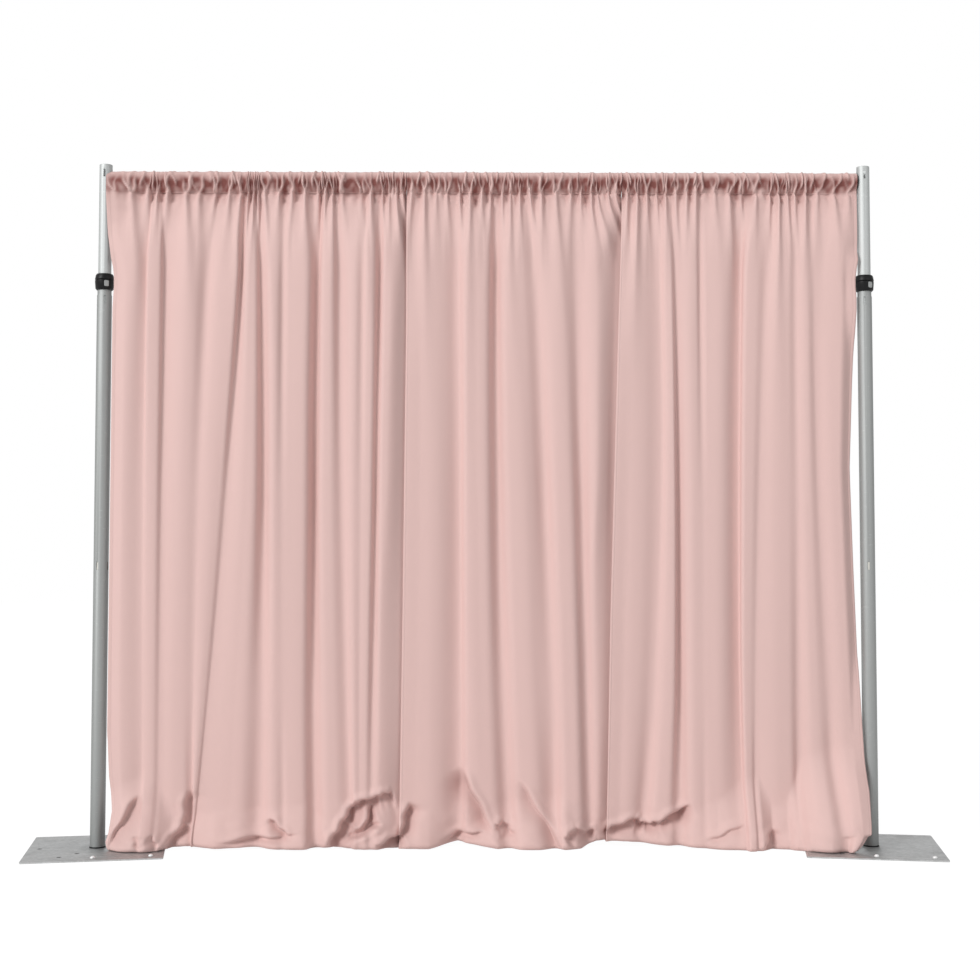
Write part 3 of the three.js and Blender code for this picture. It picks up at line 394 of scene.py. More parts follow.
HOLLOW_EDGE = (-0.004, 0.006)
HOLLOW_WAVE, HOLLOW_WAVES, HOLLOW_WAVE_SHIFT = 0.003, 9, 60
LIP_SHARE = 0.2
LIP_WIDTH = 0.012

# Small wrinkles near the floor, and where the cloth lands on the floor or on a plate
WRINKLE_DEPTH = 0.004
WRINKLE_FADES = (0.03, 0.22)
WRINKLES_ACROSS, WRINKLE_SLANT, WRINKLES_UP, WRINKLE_SEED = 22, 9, 26, 3.1
HEM_TOP = 0.40
FOOT_LEVEL = 0.002
LIFT_FADES = (0.02, 0.25)
PLATE_REACH = (1.075, 1.105)
HEM_VARIES = 0.35
HEM_VARIES_OVER = 0.09
HEM_SEED = 83

# How far apart the seeds of the smooth noise lie
SEED_ACROSS = 7.31
SEED_UP = 1.7

# Columns across a panel, and rows from the floor to the hem's top, up to the pocket and round it; the fine
# rows keep every column, the others every second one
COLUMNS = 440
HEM_ROWS = 84
DROP_ROWS = 44
FINE_ROWS = 12
POCKET_ROWS = 28
FINE_START = HEM_ROWS + 1 + DROP_ROWS - FINE_ROWS
HEM_CROWDING = 0.8
DROP_CROWDING = 1.6

# Painted shade: the cloth's colour is darkened in the gathers, between the pleats and in the hollows
GATHER_STARTS = (-0.010, 0.020)
GATHER_ENDS = (-0.016, 0.025)
GATHER_SHADE = 0.86
CREST_LIGHT = 1.05
PLEAT_CREST = 0.6
PLEAT_SHADE = 0.3
PLEAT_SHADE_REACH = 0.05
PATCH_SHADE = 0.55
POCKET_LIGHT = 0.25
POCKET_LIGHT_REACH = 0.03
HOLLOW_SHADE = 8
DEEPEST_HOLLOW = 0.35
PATCH_WIDTH = 0.016
PATCH_HEIGHT = 0.02


def smooth(value, start, end):
    """Smoothstep of value from 0 at start to 1 at end."""
    t = np.clip((value - start) / (end - start), 0, 1)
    return t * t * (3 - 2 * t)


def grown(value, reach, least):
    """Rises smoothly from a least share to 1 over a reach."""
    return least + (1 - least) * smooth(value, *reach)


def about(middle_and_spread, stray):
    """A value that strays from its middle."""
    middle, spread = middle_and_spread
    return middle + spread * stray


def by_level(level, levels, places):
    """A place at each height, from places given at falling levels."""
    return np.interp(-level, [-z for z in levels], places)


def wander(values, seed):
    """Smooth noise from -1 to 1 along a list of values."""
    across, up = seed * SEED_ACROSS, seed * SEED_UP
    return np.array([noise.noise(Vector((v, across, up))) for v in np.ravel(values)])


def bell(value, width):
    """1 at 0, falling to either side over a width."""
    return np.exp(-((value / width) ** 2))


def swing(share, width):
    """How far the cloth turns along a flank, from its shoulder at 0 to the valley's bottom at 1."""
    return np.sin(math.pi * share ** (1 + FLANK_LEAN * width))


def flank(depth, width):
    """The cloth that a flank of a valley takes, and its steepest turn, for its depth and its width."""
    steps = swing(np.linspace(0, 1, FLANK_STEPS), width)
    low, high = 0.0, STEEPEST_TURN
    for _ in range(FLANK_TRIES):
        turn = (low + high) / 2
        if np.mean(np.sin(turn * steps)) * width > np.mean(np.cos(turn * steps)) * depth:
            high = turn
        else:
            low = turn
    return depth / float(np.mean(np.sin(turn * steps))), turn


class Panel:
    """One drape panel: its folds as places along the flat cloth, and its shape at each height."""

    def __init__(self, name, settings):
        self.number = list(PANELS).index(name)
        self.leftmost = self.number == 0
        self.rightmost = self.number == len(PANELS) - 1
        self.valleys = PANELS[name]
        self.settings = settings
        self.stitch = BAR_CENTRE + BAR_RADIUS + POCKET_SLACK - settings.pocket_height
        self.lay_out()
        self.pinch()
        self.raise_ridges()

    def vary(self, values, seed):
        """Smooth noise of the panel's own along a list of values."""
        return wander(values, self.number + seed)

    def edges(self, level):
        """Places of the left and right side hems at a height."""
        first = by_level(level, JOIN_LEVELS, FIRST_JOIN)
        second = by_level(level, JOIN_LEVELS, SECOND_JOIN)
        lap = self.lap(level)
        left = (by_level(level, EDGE_LEVELS, LEFT_EDGE), first, second)
        right = (first - JOIN_GAP + lap, second - JOIN_GAP + lap, by_level(level, RIGHT_LEVELS, RIGHT_EDGE))
        return left[self.number], right[self.number]

    def lap(self, level):
        """How far the panel reaches behind the next one."""
        return LAP_WIDTHS[self.number] * smooth(self.stitch - level, *LAP_OPENS)

    def centre(self, valley, level):
        """Place of a valley at a height, on a smooth curve through its three places."""
        top, middle, hem = valley[PLACES]
        t = np.clip((HEADER_LEVEL - level) / (HEADER_LEVEL - HEM_LEVEL), 0, VALLEY_END)
        bend = middle - (top + hem) / 2
        return top + (hem - top) * t + 4 * bend * t * (1 - t)

    def lay_out(self):
        """Finds where each valley lies along the flat cloth, and the cloth that each flank takes."""
        left, right = self.edges(MIDDLE_LEVEL)
        stops = [left, *[self.centre(valley, MIDDLE_LEVEL) for valley in self.valleys], right]
        self.flanks = []
        self.marks = []
        along, spare = 0.0, 0.0
        for i, valley in enumerate(self.valleys):
            deepest = max(valley[DEPTHS])
            before, rise = flank(deepest, valley[LEFT_FLANK])
            after, fall = flank(deepest, valley[RIGHT_FLANK])
            self.flanks.append((before, rise, after, fall))
            along += stops[i + 1] - stops[i] + spare + (before - valley[LEFT_FLANK])
            spare = after - valley[RIGHT_FLANK]
            self.marks.append(along)
        self.width = along + stops[-1] - stops[-2] + spare
        self.along = np.linspace(0, self.width, COLUMNS + 1)
        self.share = self.along / self.width

    def pinch(self):
        """Places along the cloth where the stitched line gathers it tightest, and the pleats below them."""
        spacing = self.settings.tuck_spacing
        number = np.arange(int(self.width / spacing))
        self.pinches = (number + 0.5) * self.width / len(number)
        self.pinches += PINCH_STRAY * spacing * self.vary(number * PINCH_STEP, PINCH_SEED)
        self.lean, self.reach, self.force = (
            middle + spread * self.vary(number * step, seed) for middle, spread, step, seed in PINCH_TRAITS)
        self.reach += LONG_PLEAT * (number % LONG_PLEAT_EVERY == 1)
        self.scallop = SCALLOP_DEPTH * (self.pleats(self.stitch) - SCALLOP_MIDDLE)
        for depth, spread, seed in SCALLOPS:
            self.scallop += depth * self.vary(self.along / spread, seed)

    def raise_ridges(self):
        """The ridges of the gathered pocket: two from each pinch, and one above it that starts higher up."""
        spacing = self.settings.tuck_spacing
        count = len(self.pinches)
        self.ridges = []
        for k in range(RIDGES_EACH * count):
            odd = wander(np.arange(6) * RIDGE_STEP, self.number * RIDGE_SEEDS + k + RIDGE_SEED)
            high = k >= 2 * count
            if high:
                side = 1 if odd[5] > 0 else -1
                at = self.pinches[k - 2 * count] + spacing * about(HIGH_RIDGE_STRAY, odd[1])
            else:
                side = 1 if k % 2 else -1
                at = self.pinches[k // 2] + RIDGE_STRAY * odd[1]
            self.ridges.append((at, side * about(RIDGE_LEAN, odd[0]), about(RIDGE_FORCE, odd[2]),
                                about(RIDGE_BEND, odd[3]), about(RIDGE_WIDTH, odd[4]), high))

    def strength(self, index, level):
        """How deep a valley is at a height, as a share: less just under the header and near the floor."""
        top = grown(self.stitch - level, VALLEY_GROWS, VALLEY_LEAST)
        foot = grown(level, FLOOR_EASES, FLOOR_SHARE)
        place = Vector((level * VALLEY_VARIES_SCALE, self.number * 10 + index, 0.5))
        vary = 1 + VALLEY_VARIES * noise.noise(place)
        depths = self.valleys[index][DEPTHS]
        return top * foot * vary * (by_level(level, DEPTH_LEVELS, depths) / max(depths))

    def section(self, level):
        """Sideways and depth places of the cloth at one height."""
        along, step = self.along, self.along[1]
        turn = np.zeros_like(along)
        for i, (mark, (before, rise, after, fall)) in enumerate(zip(self.marks, self.flanks)):
            share = self.strength(i, level)
            left = (along - (mark - before)) / before
            right = (mark + after - along) / after
            inside = (left > 0) & (left < 1)
            turn[inside] += share * rise * swing(left[inside], self.valleys[i][LEFT_FLANK])
            inside = (right > 0) & (right < 1)
            turn[inside] -= share * fall * swing(right[inside], self.valleys[i][RIGHT_FLANK])
        starts = [0.0, *self.marks, self.width]
        turn += self.crown(starts)
        for depth, count, drift, seed in RIPPLES:
            turn += depth * self.vary(self.share * count + level * drift, seed)
        middles = (turn[1:] + turn[:-1]) / 2
        x = np.concatenate([[0], np.cumsum(np.cos(middles) * step)])
        y = np.concatenate([[0], np.cumsum(np.sin(middles) * step)])
        return self.fitted(x, level), self.levelled(y, starts)

    def crown(self, starts):
        """Each front stretch between two valleys bows forward a little."""
        turn = np.zeros_like(self.along)
        for a, b in zip(starts[:-1], starts[1:]):
            inside = (self.along >= a) & (self.along <= b)
            t = (self.along[inside] - a) / (b - a)
            turn[inside] += CROWN_TURN * (2 * t - 1) * np.sin(math.pi * t)
        return turn

    def fitted(self, x, level):
        """Shifts the cloth sideways so that hems and valleys stand where they are drawn."""
        left, right = self.edges(level)
        places = [left, *[self.centre(valley, level) for valley in self.valleys], right]
        marks = [0.0, *self.marks, self.width]
        found = np.interp(marks, self.along, x)
        return x + np.interp(self.along, marks, np.array(places) - found)

    def levelled(self, y, starts):
        """Takes out drift, so that each front stretch stands in the hanging plane."""
        middles = [(a + b) / 2 for a, b in zip(starts[:-1], starts[1:])]
        return y - np.interp(self.along, middles, np.interp(middles, self.along, y))

    def pleats(self, level):
        """How far small pleats swell forward: they run down from the pinches, widen and fade."""
        below = max(self.stitch - level, 0)
        front = np.zeros_like(self.along)
        width = PLEAT_WIDTH + PLEAT_WIDENS * below
        for place, reach, force, lean in zip(self.pinches, self.reach, self.force, self.lean):
            strong = force * math.exp(-((below / max(reach, PLEAT_SHORTEST)) ** PLEAT_FADE))
            at = place + (lean - 0.5) * PLEAT_LEAN * below
            front += strong * bell(self.along - at, np.where(self.along > at, PLEAT_STEEP * width, width))
        return front

    def puffs(self, level):
        """The cloth swells forward below the uneven stitched line."""
        below = self.stitch - level + self.scallop
        puff = self.settings.puff_depth * smooth(below, *PUFF_RISES)
        return puff * (1 - PUFF_FADE * smooth(below, *PUFF_FADES))

    def row(self, level):
        """The cloth at one height below the stitched line."""
        x, y = self.section(level)
        below = self.stitch - level
        hang = HANG_DEPTH * smooth(below, 0, HANG_EASE) + self.puffs(level)
        pleated = self.settings.pleat_depth * (self.pleats(level) - PLEAT_MIDDLE)
        y = y * smooth(below, *FOLDS_START) - pleated * grown(below, PLEAT_GROWS, PLEAT_LEAST) - hang
        y = y + self.lapped(level) + self.curled(level)
        y = self.clear_of_uprights(x, y, level)
        if level > HEM_TOP:
            return x, y, np.full_like(x, level)
        y = y - self.thrown(x, level) + self.dented(x, level) + self.creased(x, level)
        return self.landed(x, y, level)

    def thrown(self, x, level):
        """The cloth runs forward as it nears the floor."""
        places, forward, _ = np.transpose(HEM_PLACES)
        far = np.interp(x, places, forward)
        return far * (1 - smooth(max(level, 0), 0, THROW_HEIGHT + THROW_SLOPE * np.maximum(far, 0)))

    def dented(self, x, level):
        """How far back the hollows near the hem lie."""
        back = np.zeros_like(x)
        lip = np.zeros_like(x)
        for x1, z1, x2, z2, depth, reach in HOLLOWS:
            run, rise = x2 - x1, z2 - z1
            size = math.hypot(run, rise)
            along = ((x - x1) * run + (level - z1) * rise) / size**2
            wave = HOLLOW_WAVE * np.sin(HOLLOW_WAVES * along + HOLLOW_WAVE_SHIFT * x1)
            off = ((x - x1) * rise - (level - z1) * run) / size + wave
            ends = smooth(along, *HOLLOW_STARTS) * (1 - smooth(along, *HOLLOW_ENDS)) * depth
            back = np.maximum(back, ends * (smooth(off, *HOLLOW_EDGE) * bell(np.maximum(off, 0), reach)))
            lip = np.maximum(lip, LIP_SHARE * ends * bell(off + LIP_WIDTH, LIP_WIDTH))
        return back - lip

    def creased(self, x, level):
        """Small soft wrinkles close to the floor."""
        near = WRINKLE_DEPTH * (1 - smooth(level, *WRINKLE_FADES))
        slant, up = level * WRINKLE_SLANT, level * WRINKLES_UP
        return near * np.array([
            noise.noise(Vector((u * WRINKLES_ACROSS + slant, up, WRINKLE_SEED))) for u in x])

    def landed(self, x, y, level):
        """Turns the lowest cloth under, on the floor or on a base plate."""
        places, _, held = np.transpose(HEM_PLACES)
        ground = FOOT_LEVEL + PLATE_TOP * smooth(np.abs(x), *PLATE_REACH) + np.interp(x, places, held)
        radius = self.settings.hem_radius * (1 + HEM_VARIES * wander(x / HEM_VARIES_OVER, HEM_SEED))
        under = np.maximum(radius - level, 0)
        turn = np.minimum(under / radius, math.pi / 2)
        back = radius * (1 - np.cos(turn)) + np.maximum(under - radius * math.pi / 2, 0)
        above = level + ground * (1 - smooth(level, *LIFT_FADES))
        return x, y + back, np.where(under > 0, ground + radius * (1 - np.sin(turn)), above)

    def curled(self, level):
        """The outer side hems turn back."""
        grow = smooth(self.stitch - level, *CURL_GROWS)
        if self.leftmost:
            return grow * (LEFT_CURL * (1 - smooth(self.along, 0.0, LEFT_CURL_REACH)) - LEFT_CURL_FRONT)
        if self.rightmost:
            return grow * RIGHT_CURL * smooth(self.along, self.width - RIGHT_CURL_REACH, self.width)
        return np.zeros_like(self.along)

    def clear_of_uprights(self, x, y, level):
        """Brings the cloth in front of an upright where its side hem reaches in front of the tube."""
        left, right = self.edges(level)
        if self.leftmost:
            axis, edge = LEFT_AXIS, left
        elif self.rightmost:
            axis, edge = RIGHT_AXIS, right
        else:
            return y
        clear = EDGE_CLEARANCE + (MAST_EDGE_CLEARANCE - EDGE_CLEARANCE) * smooth(level, *COLLAR_REACH)
        front = -math.sqrt(max(clear**2 - abs(edge - axis) ** 2, 0))
        return y + (np.minimum(y, front) - y) * (1 - smooth(np.abs(x - edge), *EDGE_REACH))

    def lapped(self, level):
        """At a join, the panel to the right lies in front and the one to the left behind."""
        shift = np.zeros_like(self.along)
        if not self.rightmost:
            edge = self.width - self.lap(level)
            behind = LAP_DEPTH + LAP_DEPTH_LOW * (1 - smooth(level, *LAP_DEEPENS))
            reach = LAP_REACH + LAP_EASE[self.number] * (1 - smooth(level, *LAP_EASES))
            shift += behind * smooth(self.along, edge - reach, edge + LAP_END)
        if not self.leftmost:
            shift -= LAP_FRONT * (1 - smooth(self.along, 0.0, LAP_FRONT_REACH))
        return shift * grown(self.stitch - level, LAP_GROWS, LAP_LEAST)

    def pocket(self):
        """Rows of the pocket from the front of the stitched line, over the bar, to its back."""
        x0, y0, _ = self.row(self.stitch)
        radius = BAR_RADIUS + POCKET_ROOM
        drop = BAR_CENTRE - self.stitch
        lean = math.acos(radius / drop)
        straight = math.sqrt(drop**2 - radius**2)
        arc = radius * (2 * math.pi - 2 * lean)
        total = 2 * straight + arc
        foot = Vector((0, -drop))
        rows = []
        for k in range(1, POCKET_ROWS + 1):
            s = total * k / POCKET_ROWS
            if s <= straight:
                out = self.rim(-lean)
                point = foot.lerp(out * radius, s / straight)
            elif s >= straight + arc:
                out = self.rim(lean)
                point = (out * radius).lerp(foot, (s - straight - arc) / straight)
            else:
                out = self.rim(-lean - (s - straight) / radius)
                point = out * radius
            swell = self.settings.tuck_depth * self.tucks(s, total)
            y = point[0] + out[0] * swell
            z = BAR_CENTRE + point[1] + out[1] * swell
            if s < total / 2:
                start = smooth(s, 0, POCKET_START)
                y = y0 * (1 - start) + (y - self.puffs(BAR_CENTRE + point[1])) * start
                held = 1 - smooth(s, straight, straight + POCKET_HOLD * arc)
                y = y + (self.clear_of_uprights(x0, y, self.stitch) - y) * held
            rows.append((self.beside_uprights(x0, y), y, z))
        return rows

    def beside_uprights(self, x, y):
        """Keeps the pocket's ends off the tubes."""
        room = np.sqrt(np.maximum(TUBE_CLEARANCE**2 - y**2, 0))
        return np.clip(x, LEFT_AXIS + room, RIGHT_AXIS - room)

    def rim(self, turn):
        """A direction out from the bar, its turn counted from straight down, front negative."""
        return Vector((math.sin(turn), -math.cos(turn)))

    def tucks(self, s, total):
        """How far the gathered pocket swells out at a place round it: ridges that fan out and cross."""
        from_stitch = min(s, total - s)
        height = from_stitch / (total / 2)
        crest = np.zeros_like(self.along)
        for place, lean, force, bend, width, high in self.ridges:
            wave = RIDGE_WAVE * math.sin(RIDGE_WAVES * height + RIDGE_WAVE_SHIFT * force)
            at = place + lean * height ** about(RIDGE_CURVE, bend) + wave
            if high:
                lasting = smooth(height, about(HIGH_RIDGE_STARTS, bend), about(HIGH_RIDGE_FULL, bend))
            else:
                lasting = 1 - RIDGE_FADE * smooth(height, about(RIDGE_FADES, bend), about(RIDGE_FADED, bend))
            spread = max(width, RIDGE_THINNEST) * about(RIDGE_SPREADS, height)
            crest += (max(force, 0) * lasting * bell(self.along - at, spread)) ** 2
        fade = smooth(from_stitch, *TUCKS_START) * (1 - TOP_FADE * smooth(height, *TOP_FADES))
        soft = RIDGE_SOFTNESS * self.vary(self.along / RIDGE_SOFT_WIDTH, RIDGE_SOFT_SEED)
        return (np.sqrt(crest) + soft) * fade - POCKET_SINK * math.sin(math.pi * height) ** 2

    def points(self):
        """All rows of the panel from the hem to the back of the pocket, with each row's flat place."""
        spare = self.settings.spare_length
        low = HEM_TOP - (HEM_TOP + spare) * np.linspace(1, 0, HEM_ROWS + 1) ** HEM_CROWDING
        ease = np.linspace(0, 1, DROP_ROWS + 1)[1:]
        high = HEM_TOP + (self.stitch - HEM_TOP) * (1 - (1 - ease) ** DROP_CROWDING)
        rows = [self.row(level) for level in [*low, *high]]
        flat = [level + spare for level in [*low, *high]]
        for row in self.pocket():
            rows.append(row)
            flat.append(flat[-1] + POCKET_CLOTH / POCKET_ROWS)
        grid = np.array([np.column_stack([x, y, z * np.ones_like(x)]) for x, y, z in rows])
        return grid, np.array(flat)


def woven(values):
    """A panel's values point by point: every second column up to the fine rows, and then all of them."""
    shape = values.shape[2:]
    low, high = values[:FINE_START, ::2], values[FINE_START:]
    return np.concatenate([low.reshape(-1, *shape), high.reshape(-1, *shape)])


def quads(index):
    """Faces between the rows and columns of a grid of point numbers."""
    return np.stack([index[:-1, :-1], index[:-1, 1:], index[1:, 1:], index[1:, :-1]], -1).reshape(-1, 4)


def added(name, data):
    """A new object in the scene."""
    piece = bpy.data.objects.new(name, data)
    bpy.context.scene.collection.objects.link(piece)
    return piece


def only(piece):
    """Makes one object the selected and active one."""
    bpy.ops.object.select_all(action="DESELECT")
    bpy.context.view_layer.objects.active = piece
    piece.select_set(True)


def cloth_mesh(name, grid, flat, width):
    """A mesh from rows and columns of points, with the flat cloth as its UV map in metres."""
    rows, columns = grid.shape[:2]
    half = (columns + 1) // 2
    low = np.arange(FINE_START * half).reshape(FINE_START, half)
    high = low.size + np.arange((rows - FINE_START) * columns).reshape(-1, columns)
    between = np.stack([low[-1, :-1], low[-1, 1:], high[0, 2::2], high[0, 1::2], high[0, :-1:2]], -1)
    faces = [*quads(low).tolist(), *between.tolist(), *quads(high).tolist()]
    mesh = bpy.data.meshes.new(name)
    mesh.from_pydata(woven(grid).tolist(), [], faces)
    across = woven(np.tile(np.linspace(0, width, columns), (rows, 1)))
    up = woven(np.repeat(flat[:, None], columns, axis=1))
    uv = mesh.uv_layers.new(name="cloth")
    corner = np.empty(len(mesh.loops), int)
    mesh.loops.foreach_get("vertex_index", corner)
    uv.data.foreach_set("uv", np.column_stack([across[corner], up[corner]]).astype(np.float32).ravel())
    mesh.shade_smooth()
    return added(name, mesh)


def plate_point(side, place, level):
    """A place on a base plate, as a point of the frame."""
    cos, sin = math.cos(PLATE_TURNS[side]), math.sin(PLATE_TURNS[side])
    x, y = place
    return (AXES[side] + x * cos - y * sin, x * sin + y * cos, level)


def studs(side):
    """The domed studs in a base plate's front holes, as one mesh."""
    points, faces = [], []
    turns = [2 * math.pi * j / STUD_SIDES for j in range(STUD_SIDES)]
    for place in STUD_PLACES:
        x, y, level = plate_point(side, place, PLATE_TOP - STUD_SINK)
        first = len(points)
        for k in range(STUD_RINGS):
            rise = math.pi / 2 * k / STUD_RINGS
            reach = STUD_RADIUS * math.cos(rise)
            height = level + STUD_HEIGHT * math.sin(rise)
            points += [(x + reach * math.cos(turn), y + reach * math.sin(turn), height) for turn in turns]
        points.append((x, y, level + STUD_HEIGHT))
        for k in range(STUD_RINGS):
            low = first + k * STUD_SIDES
            for j in range(STUD_SIDES):
                after = (j + 1) % STUD_SIDES
                if k < STUD_RINGS - 1:
                    faces.append((low + j, low + after, low + STUD_SIDES + after, low + STUD_SIDES + j))
                else:
                    faces.append((low + j, low + after, len(points) - 1))
        faces.append(tuple(first + j for j in reversed(range(STUD_SIDES))))
    mesh = bpy.data.meshes.new(f"{side}_plate_studs")
    mesh.from_pydata(points, [], faces)
    mesh.shade_smooth()
    return added(f"{side}_plate_studs", mesh)


# Shader helpers
FLOAT = "NodeSocketFloat"
VECTOR = "NodeSocketVector"

# Where a Mix node of each kind takes its share and its two values, and where it gives the result
MIX_SLOTS = {"RGBA": (0, 6, 7, 2), "FLOAT": (0, 2, 3, 0)}


def new_group(name, inputs, outputs):
    """A shader node group with named inputs, each (name, kind, default), and number outputs by name."""
    group = bpy.data.node_groups.new(name, "ShaderNodeTree")
    for label, kind, default in inputs:
        socket = group.interface.new_socket(name=label, in_out="INPUT", socket_type=kind)
        socket.default_value = default
    for label in outputs:
        group.interface.new_socket(name=label, in_out="OUTPUT", socket_type=FLOAT)
    source = group.nodes.new("NodeGroupInput")
    sink = group.nodes.new("NodeGroupOutput")
    return group, source.outputs, sink


def put(tree, kind, **values):
    """Adds a node and sets its properties."""
    node = tree.nodes.new(kind)
    for key, value in values.items():
        setattr(node, key, value)
    return node


def plug(tree, socket, value):
    """Links an input to a socket, or sets it to a number, a vector or a colour."""
    if isinstance(value, bpy.types.NodeSocket):
        tree.links.new(value, socket)
    elif socket.type == "RGBA":
        socket.default_value = (*value[:3], 1)
    else:
        socket.default_value = value


def feed(tree, node, **values):
    """Plugs a node's inputs by name, with _ for a space; gives the node."""
    for label, value in values.items():
        plug(tree, node.inputs[label.replace("_", " ")], value)
    return node


def maths(tree, operation, first, second=None, clamp=False):
    """A Math node on sockets or numbers; gives its output socket."""
    node = put(tree, "ShaderNodeMath", operation=operation, use_clamp=clamp)
    plug(tree, node.inputs[0], first)
    if second is not None:
        plug(tree, node.inputs[1], second)
    return node.outputs[0]


def scaled(tree, value, factor, offset):
    """A socket times a factor, plus an offset."""
    return maths(tree, "ADD", maths(tree, "MULTIPLY", value, factor), offset)


def beyond(tree, value, level, gain):
    """How far a socket lies above a level, times a gain, from 0 to 1."""
    return maths(tree, "MULTIPLY", maths(tree, "SUBTRACT", value, level, clamp=True), gain, clamp=True)


def swayed(tree, value, strength):
    """A socket's sway about a half, times a strength."""
    return maths(tree, "MULTIPLY", maths(tree, "SUBTRACT", value, 0.5), strength)


def mix(tree, share, first, second, kind="RGBA"):
    """A mix of two sockets, colours or numbers; gives its output socket."""
    node = put(tree, "ShaderNodeMix", data_type=kind)
    *slots, result = MIX_SLOTS[kind]
    for slot, value in zip(slots, (share, first, second)):
        plug(tree, node.inputs[slot], value)
    return node.outputs[result]


def noise_node(tree, vector, scale, detail=3.0, roughness=0.5):
    """A noise texture's value on a vector socket."""
    node = put(tree, "ShaderNodeTexNoise")
    return feed(tree, node, Scale=scale, Detail=detail, Roughness=roughness, Vector=vector).outputs["Fac"]


def stretched(tree, vector, scale):
    """A vector socket stretched by a scale on each axis."""
    return feed(tree, put(tree, "ShaderNodeMapping"), Scale=scale, Vector=vector).outputs["Vector"]


def bump(tree, height, strength, distance, **normal):
    """A bump from a height socket, on top of another normal if one is given."""
    node = put(tree, "ShaderNodeBump")
    return feed(tree, node, Strength=strength, Distance=distance, Height=height, **normal).outputs["Normal"]


def use(tree, name, **inputs):
    """Places a shared node group in a material; gives its outputs."""
    return feed(tree, put(tree, "ShaderNodeGroup", node_tree=groups()[name]), **inputs).outputs


def object_vector(tree):
    """Places on the piece, in metres."""
    return put(tree, "ShaderNodeTexCoord").outputs["Object"]


def shade(colour, factor):
    """A colour made darker or lighter."""
    return tuple(min(1, c * factor) for c in colour)


def new_material(name):
    """A material with its node tree and its main shader."""
    material = bpy.data.materials.new(name)
    material.use_nodes = True
    tree = material.node_tree
    return material, tree, tree.nodes["Principled BSDF"]


# Shared node groups
def weave_group():
    """Plain weave: threads over and under each other, as a height, with slubs."""
    group, source, sink = new_group(
        "Plain weave",
        [("Vector", VECTOR, (0, 0, 0)), ("Threads per metre", FLOAT, 1400.0), ("Slub", FLOAT, 0.4)],
        ["Height", "Slub"])
    split = feed(group, put(group, "ShaderNodeSeparateXYZ"), Vector=source["Vector"])
    turns = maths(group, "MULTIPLY", source["Threads per metre"], math.pi)
    warp = maths(group, "SINE", maths(group, "MULTIPLY", split.outputs[0], turns))
    weft = maths(group, "SINE", maths(group, "MULTIPLY", split.outputs[1], turns))
    cross = maths(group, "MULTIPLY", warp, weft)
    threads = noise_node(group, stretched(group, source["Vector"], (18, 900, 1)), scale=1.0, detail=2.0)
    slub = swayed(group, threads, source["Slub"])
    feed(group, sink, Height=maths(group, "ADD", maths(group, "MULTIPLY", cross, 0.5), slub), Slub=slub)


def stitch_group():
    """A row of stitches along one axis: a mask of the thread and the dent that it pulls."""
    group, source, sink = new_group(
        "Stitch row",
        [("Distance", FLOAT, 1.0), ("Along", FLOAT, 0.0), ("Stitch length", FLOAT, 0.004),
         ("Thread width", FLOAT, 0.0006), ("Thread share", FLOAT, 0.72), ("Dent reach", FLOAT, 0.003)],
        ["Thread", "Dent"])
    apart = maths(group, "ABSOLUTE", source["Distance"])
    near = maths(group, "LESS_THAN", apart, source["Thread width"])
    cycle = maths(group, "FRACT", maths(group, "DIVIDE", source["Along"], source["Stitch length"]))
    dash = maths(group, "LESS_THAN", cycle, source["Thread share"])
    spread = maths(group, "DIVIDE", apart, source["Dent reach"])
    feed(group, sink, Thread=maths(group, "MULTIPLY", near, dash),
         Dent=maths(group, "SUBTRACT", 1.0, spread, clamp=True))


def grain_group():
    """Drawn metal: fine streaks along one axis, broad mottling and a few scratches."""
    group, source, sink = new_group(
        "Drawn metal",
        [("Vector", VECTOR, (0, 0, 0)), ("Streaks", FLOAT, 0.5), ("Mottle", FLOAT, 0.5)],
        ["Tone", "Height", "Scratch"])
    vector = source["Vector"]
    drawn = stretched(group, vector, (700, 700, 6))
    streaks = noise_node(group, drawn, scale=1.0, detail=4.0, roughness=0.6)
    mottle = noise_node(group, stretched(group, vector, (1, 1, 0.5)), scale=22.0, detail=5.0, roughness=0.6)
    scratch = noise_node(group, stretched(group, vector, (60, 60, 420)), scale=1.0, detail=2.0)
    part = swayed(group, streaks, source["Streaks"])
    rest = swayed(group, mottle, source["Mottle"])
    feed(group, sink, Tone=maths(group, "ADD", part, rest), Height=streaks,
         Scratch=beyond(group, scratch, level=0.66, gain=5.0))


def spangle_group():
    """Galvanised steel: crystals of zinc with their own tones, and dull stains."""
    group, source, sink = new_group(
        "Zinc spangle", [("Vector", VECTOR, (0, 0, 0)), ("Crystals per metre", FLOAT, 120.0)],
        ["Tone", "Stain"])
    cells = put(group, "ShaderNodeTexVoronoi", feature="F1")
    feed(group, cells, Vector=source["Vector"], Scale=source["Crystals per metre"])
    tone = feed(group, put(group, "ShaderNodeSeparateColor"), Color=cells.outputs["Color"])
    feed(group, sink, Tone=maths(group, "SUBTRACT", tone.outputs[0], 0.5),
         Stain=noise_node(group, source["Vector"], scale=7.0, detail=6.0, roughness=0.65))


def mould_group():
    """Moulded plastic: a fine texture and a few rubbed marks."""
    group, source, sink = new_group(
        "Moulded grain", [("Vector", VECTOR, (0, 0, 0)), ("Scale", FLOAT, 900.0)], ["Height", "Rub"])
    rub = noise_node(group, source["Vector"], scale=55.0, detail=4.0, roughness=0.7)
    feed(group, sink, Height=noise_node(group, source["Vector"], source["Scale"], detail=2.0),
         Rub=beyond(group, rub, level=0.55, gain=3.0))


def groups():
    """The shared node groups, built once."""
    if "Plain weave" not in bpy.data.node_groups:
        for build in (weave_group, stitch_group, grain_group, spangle_group, mould_group):
            build()
    return bpy.data.node_groups


# Materials
def drawn_tone(tree, streaks, mottle):
    """The drawn metal grain's outputs, and its tone from 0 to 1."""
    grain = use(tree, "Drawn metal", Vector=object_vector(tree), Streaks=streaks, Mottle=mottle)
    return grain, maths(tree, "ADD", grain["Tone"], 0.5, clamp=True)


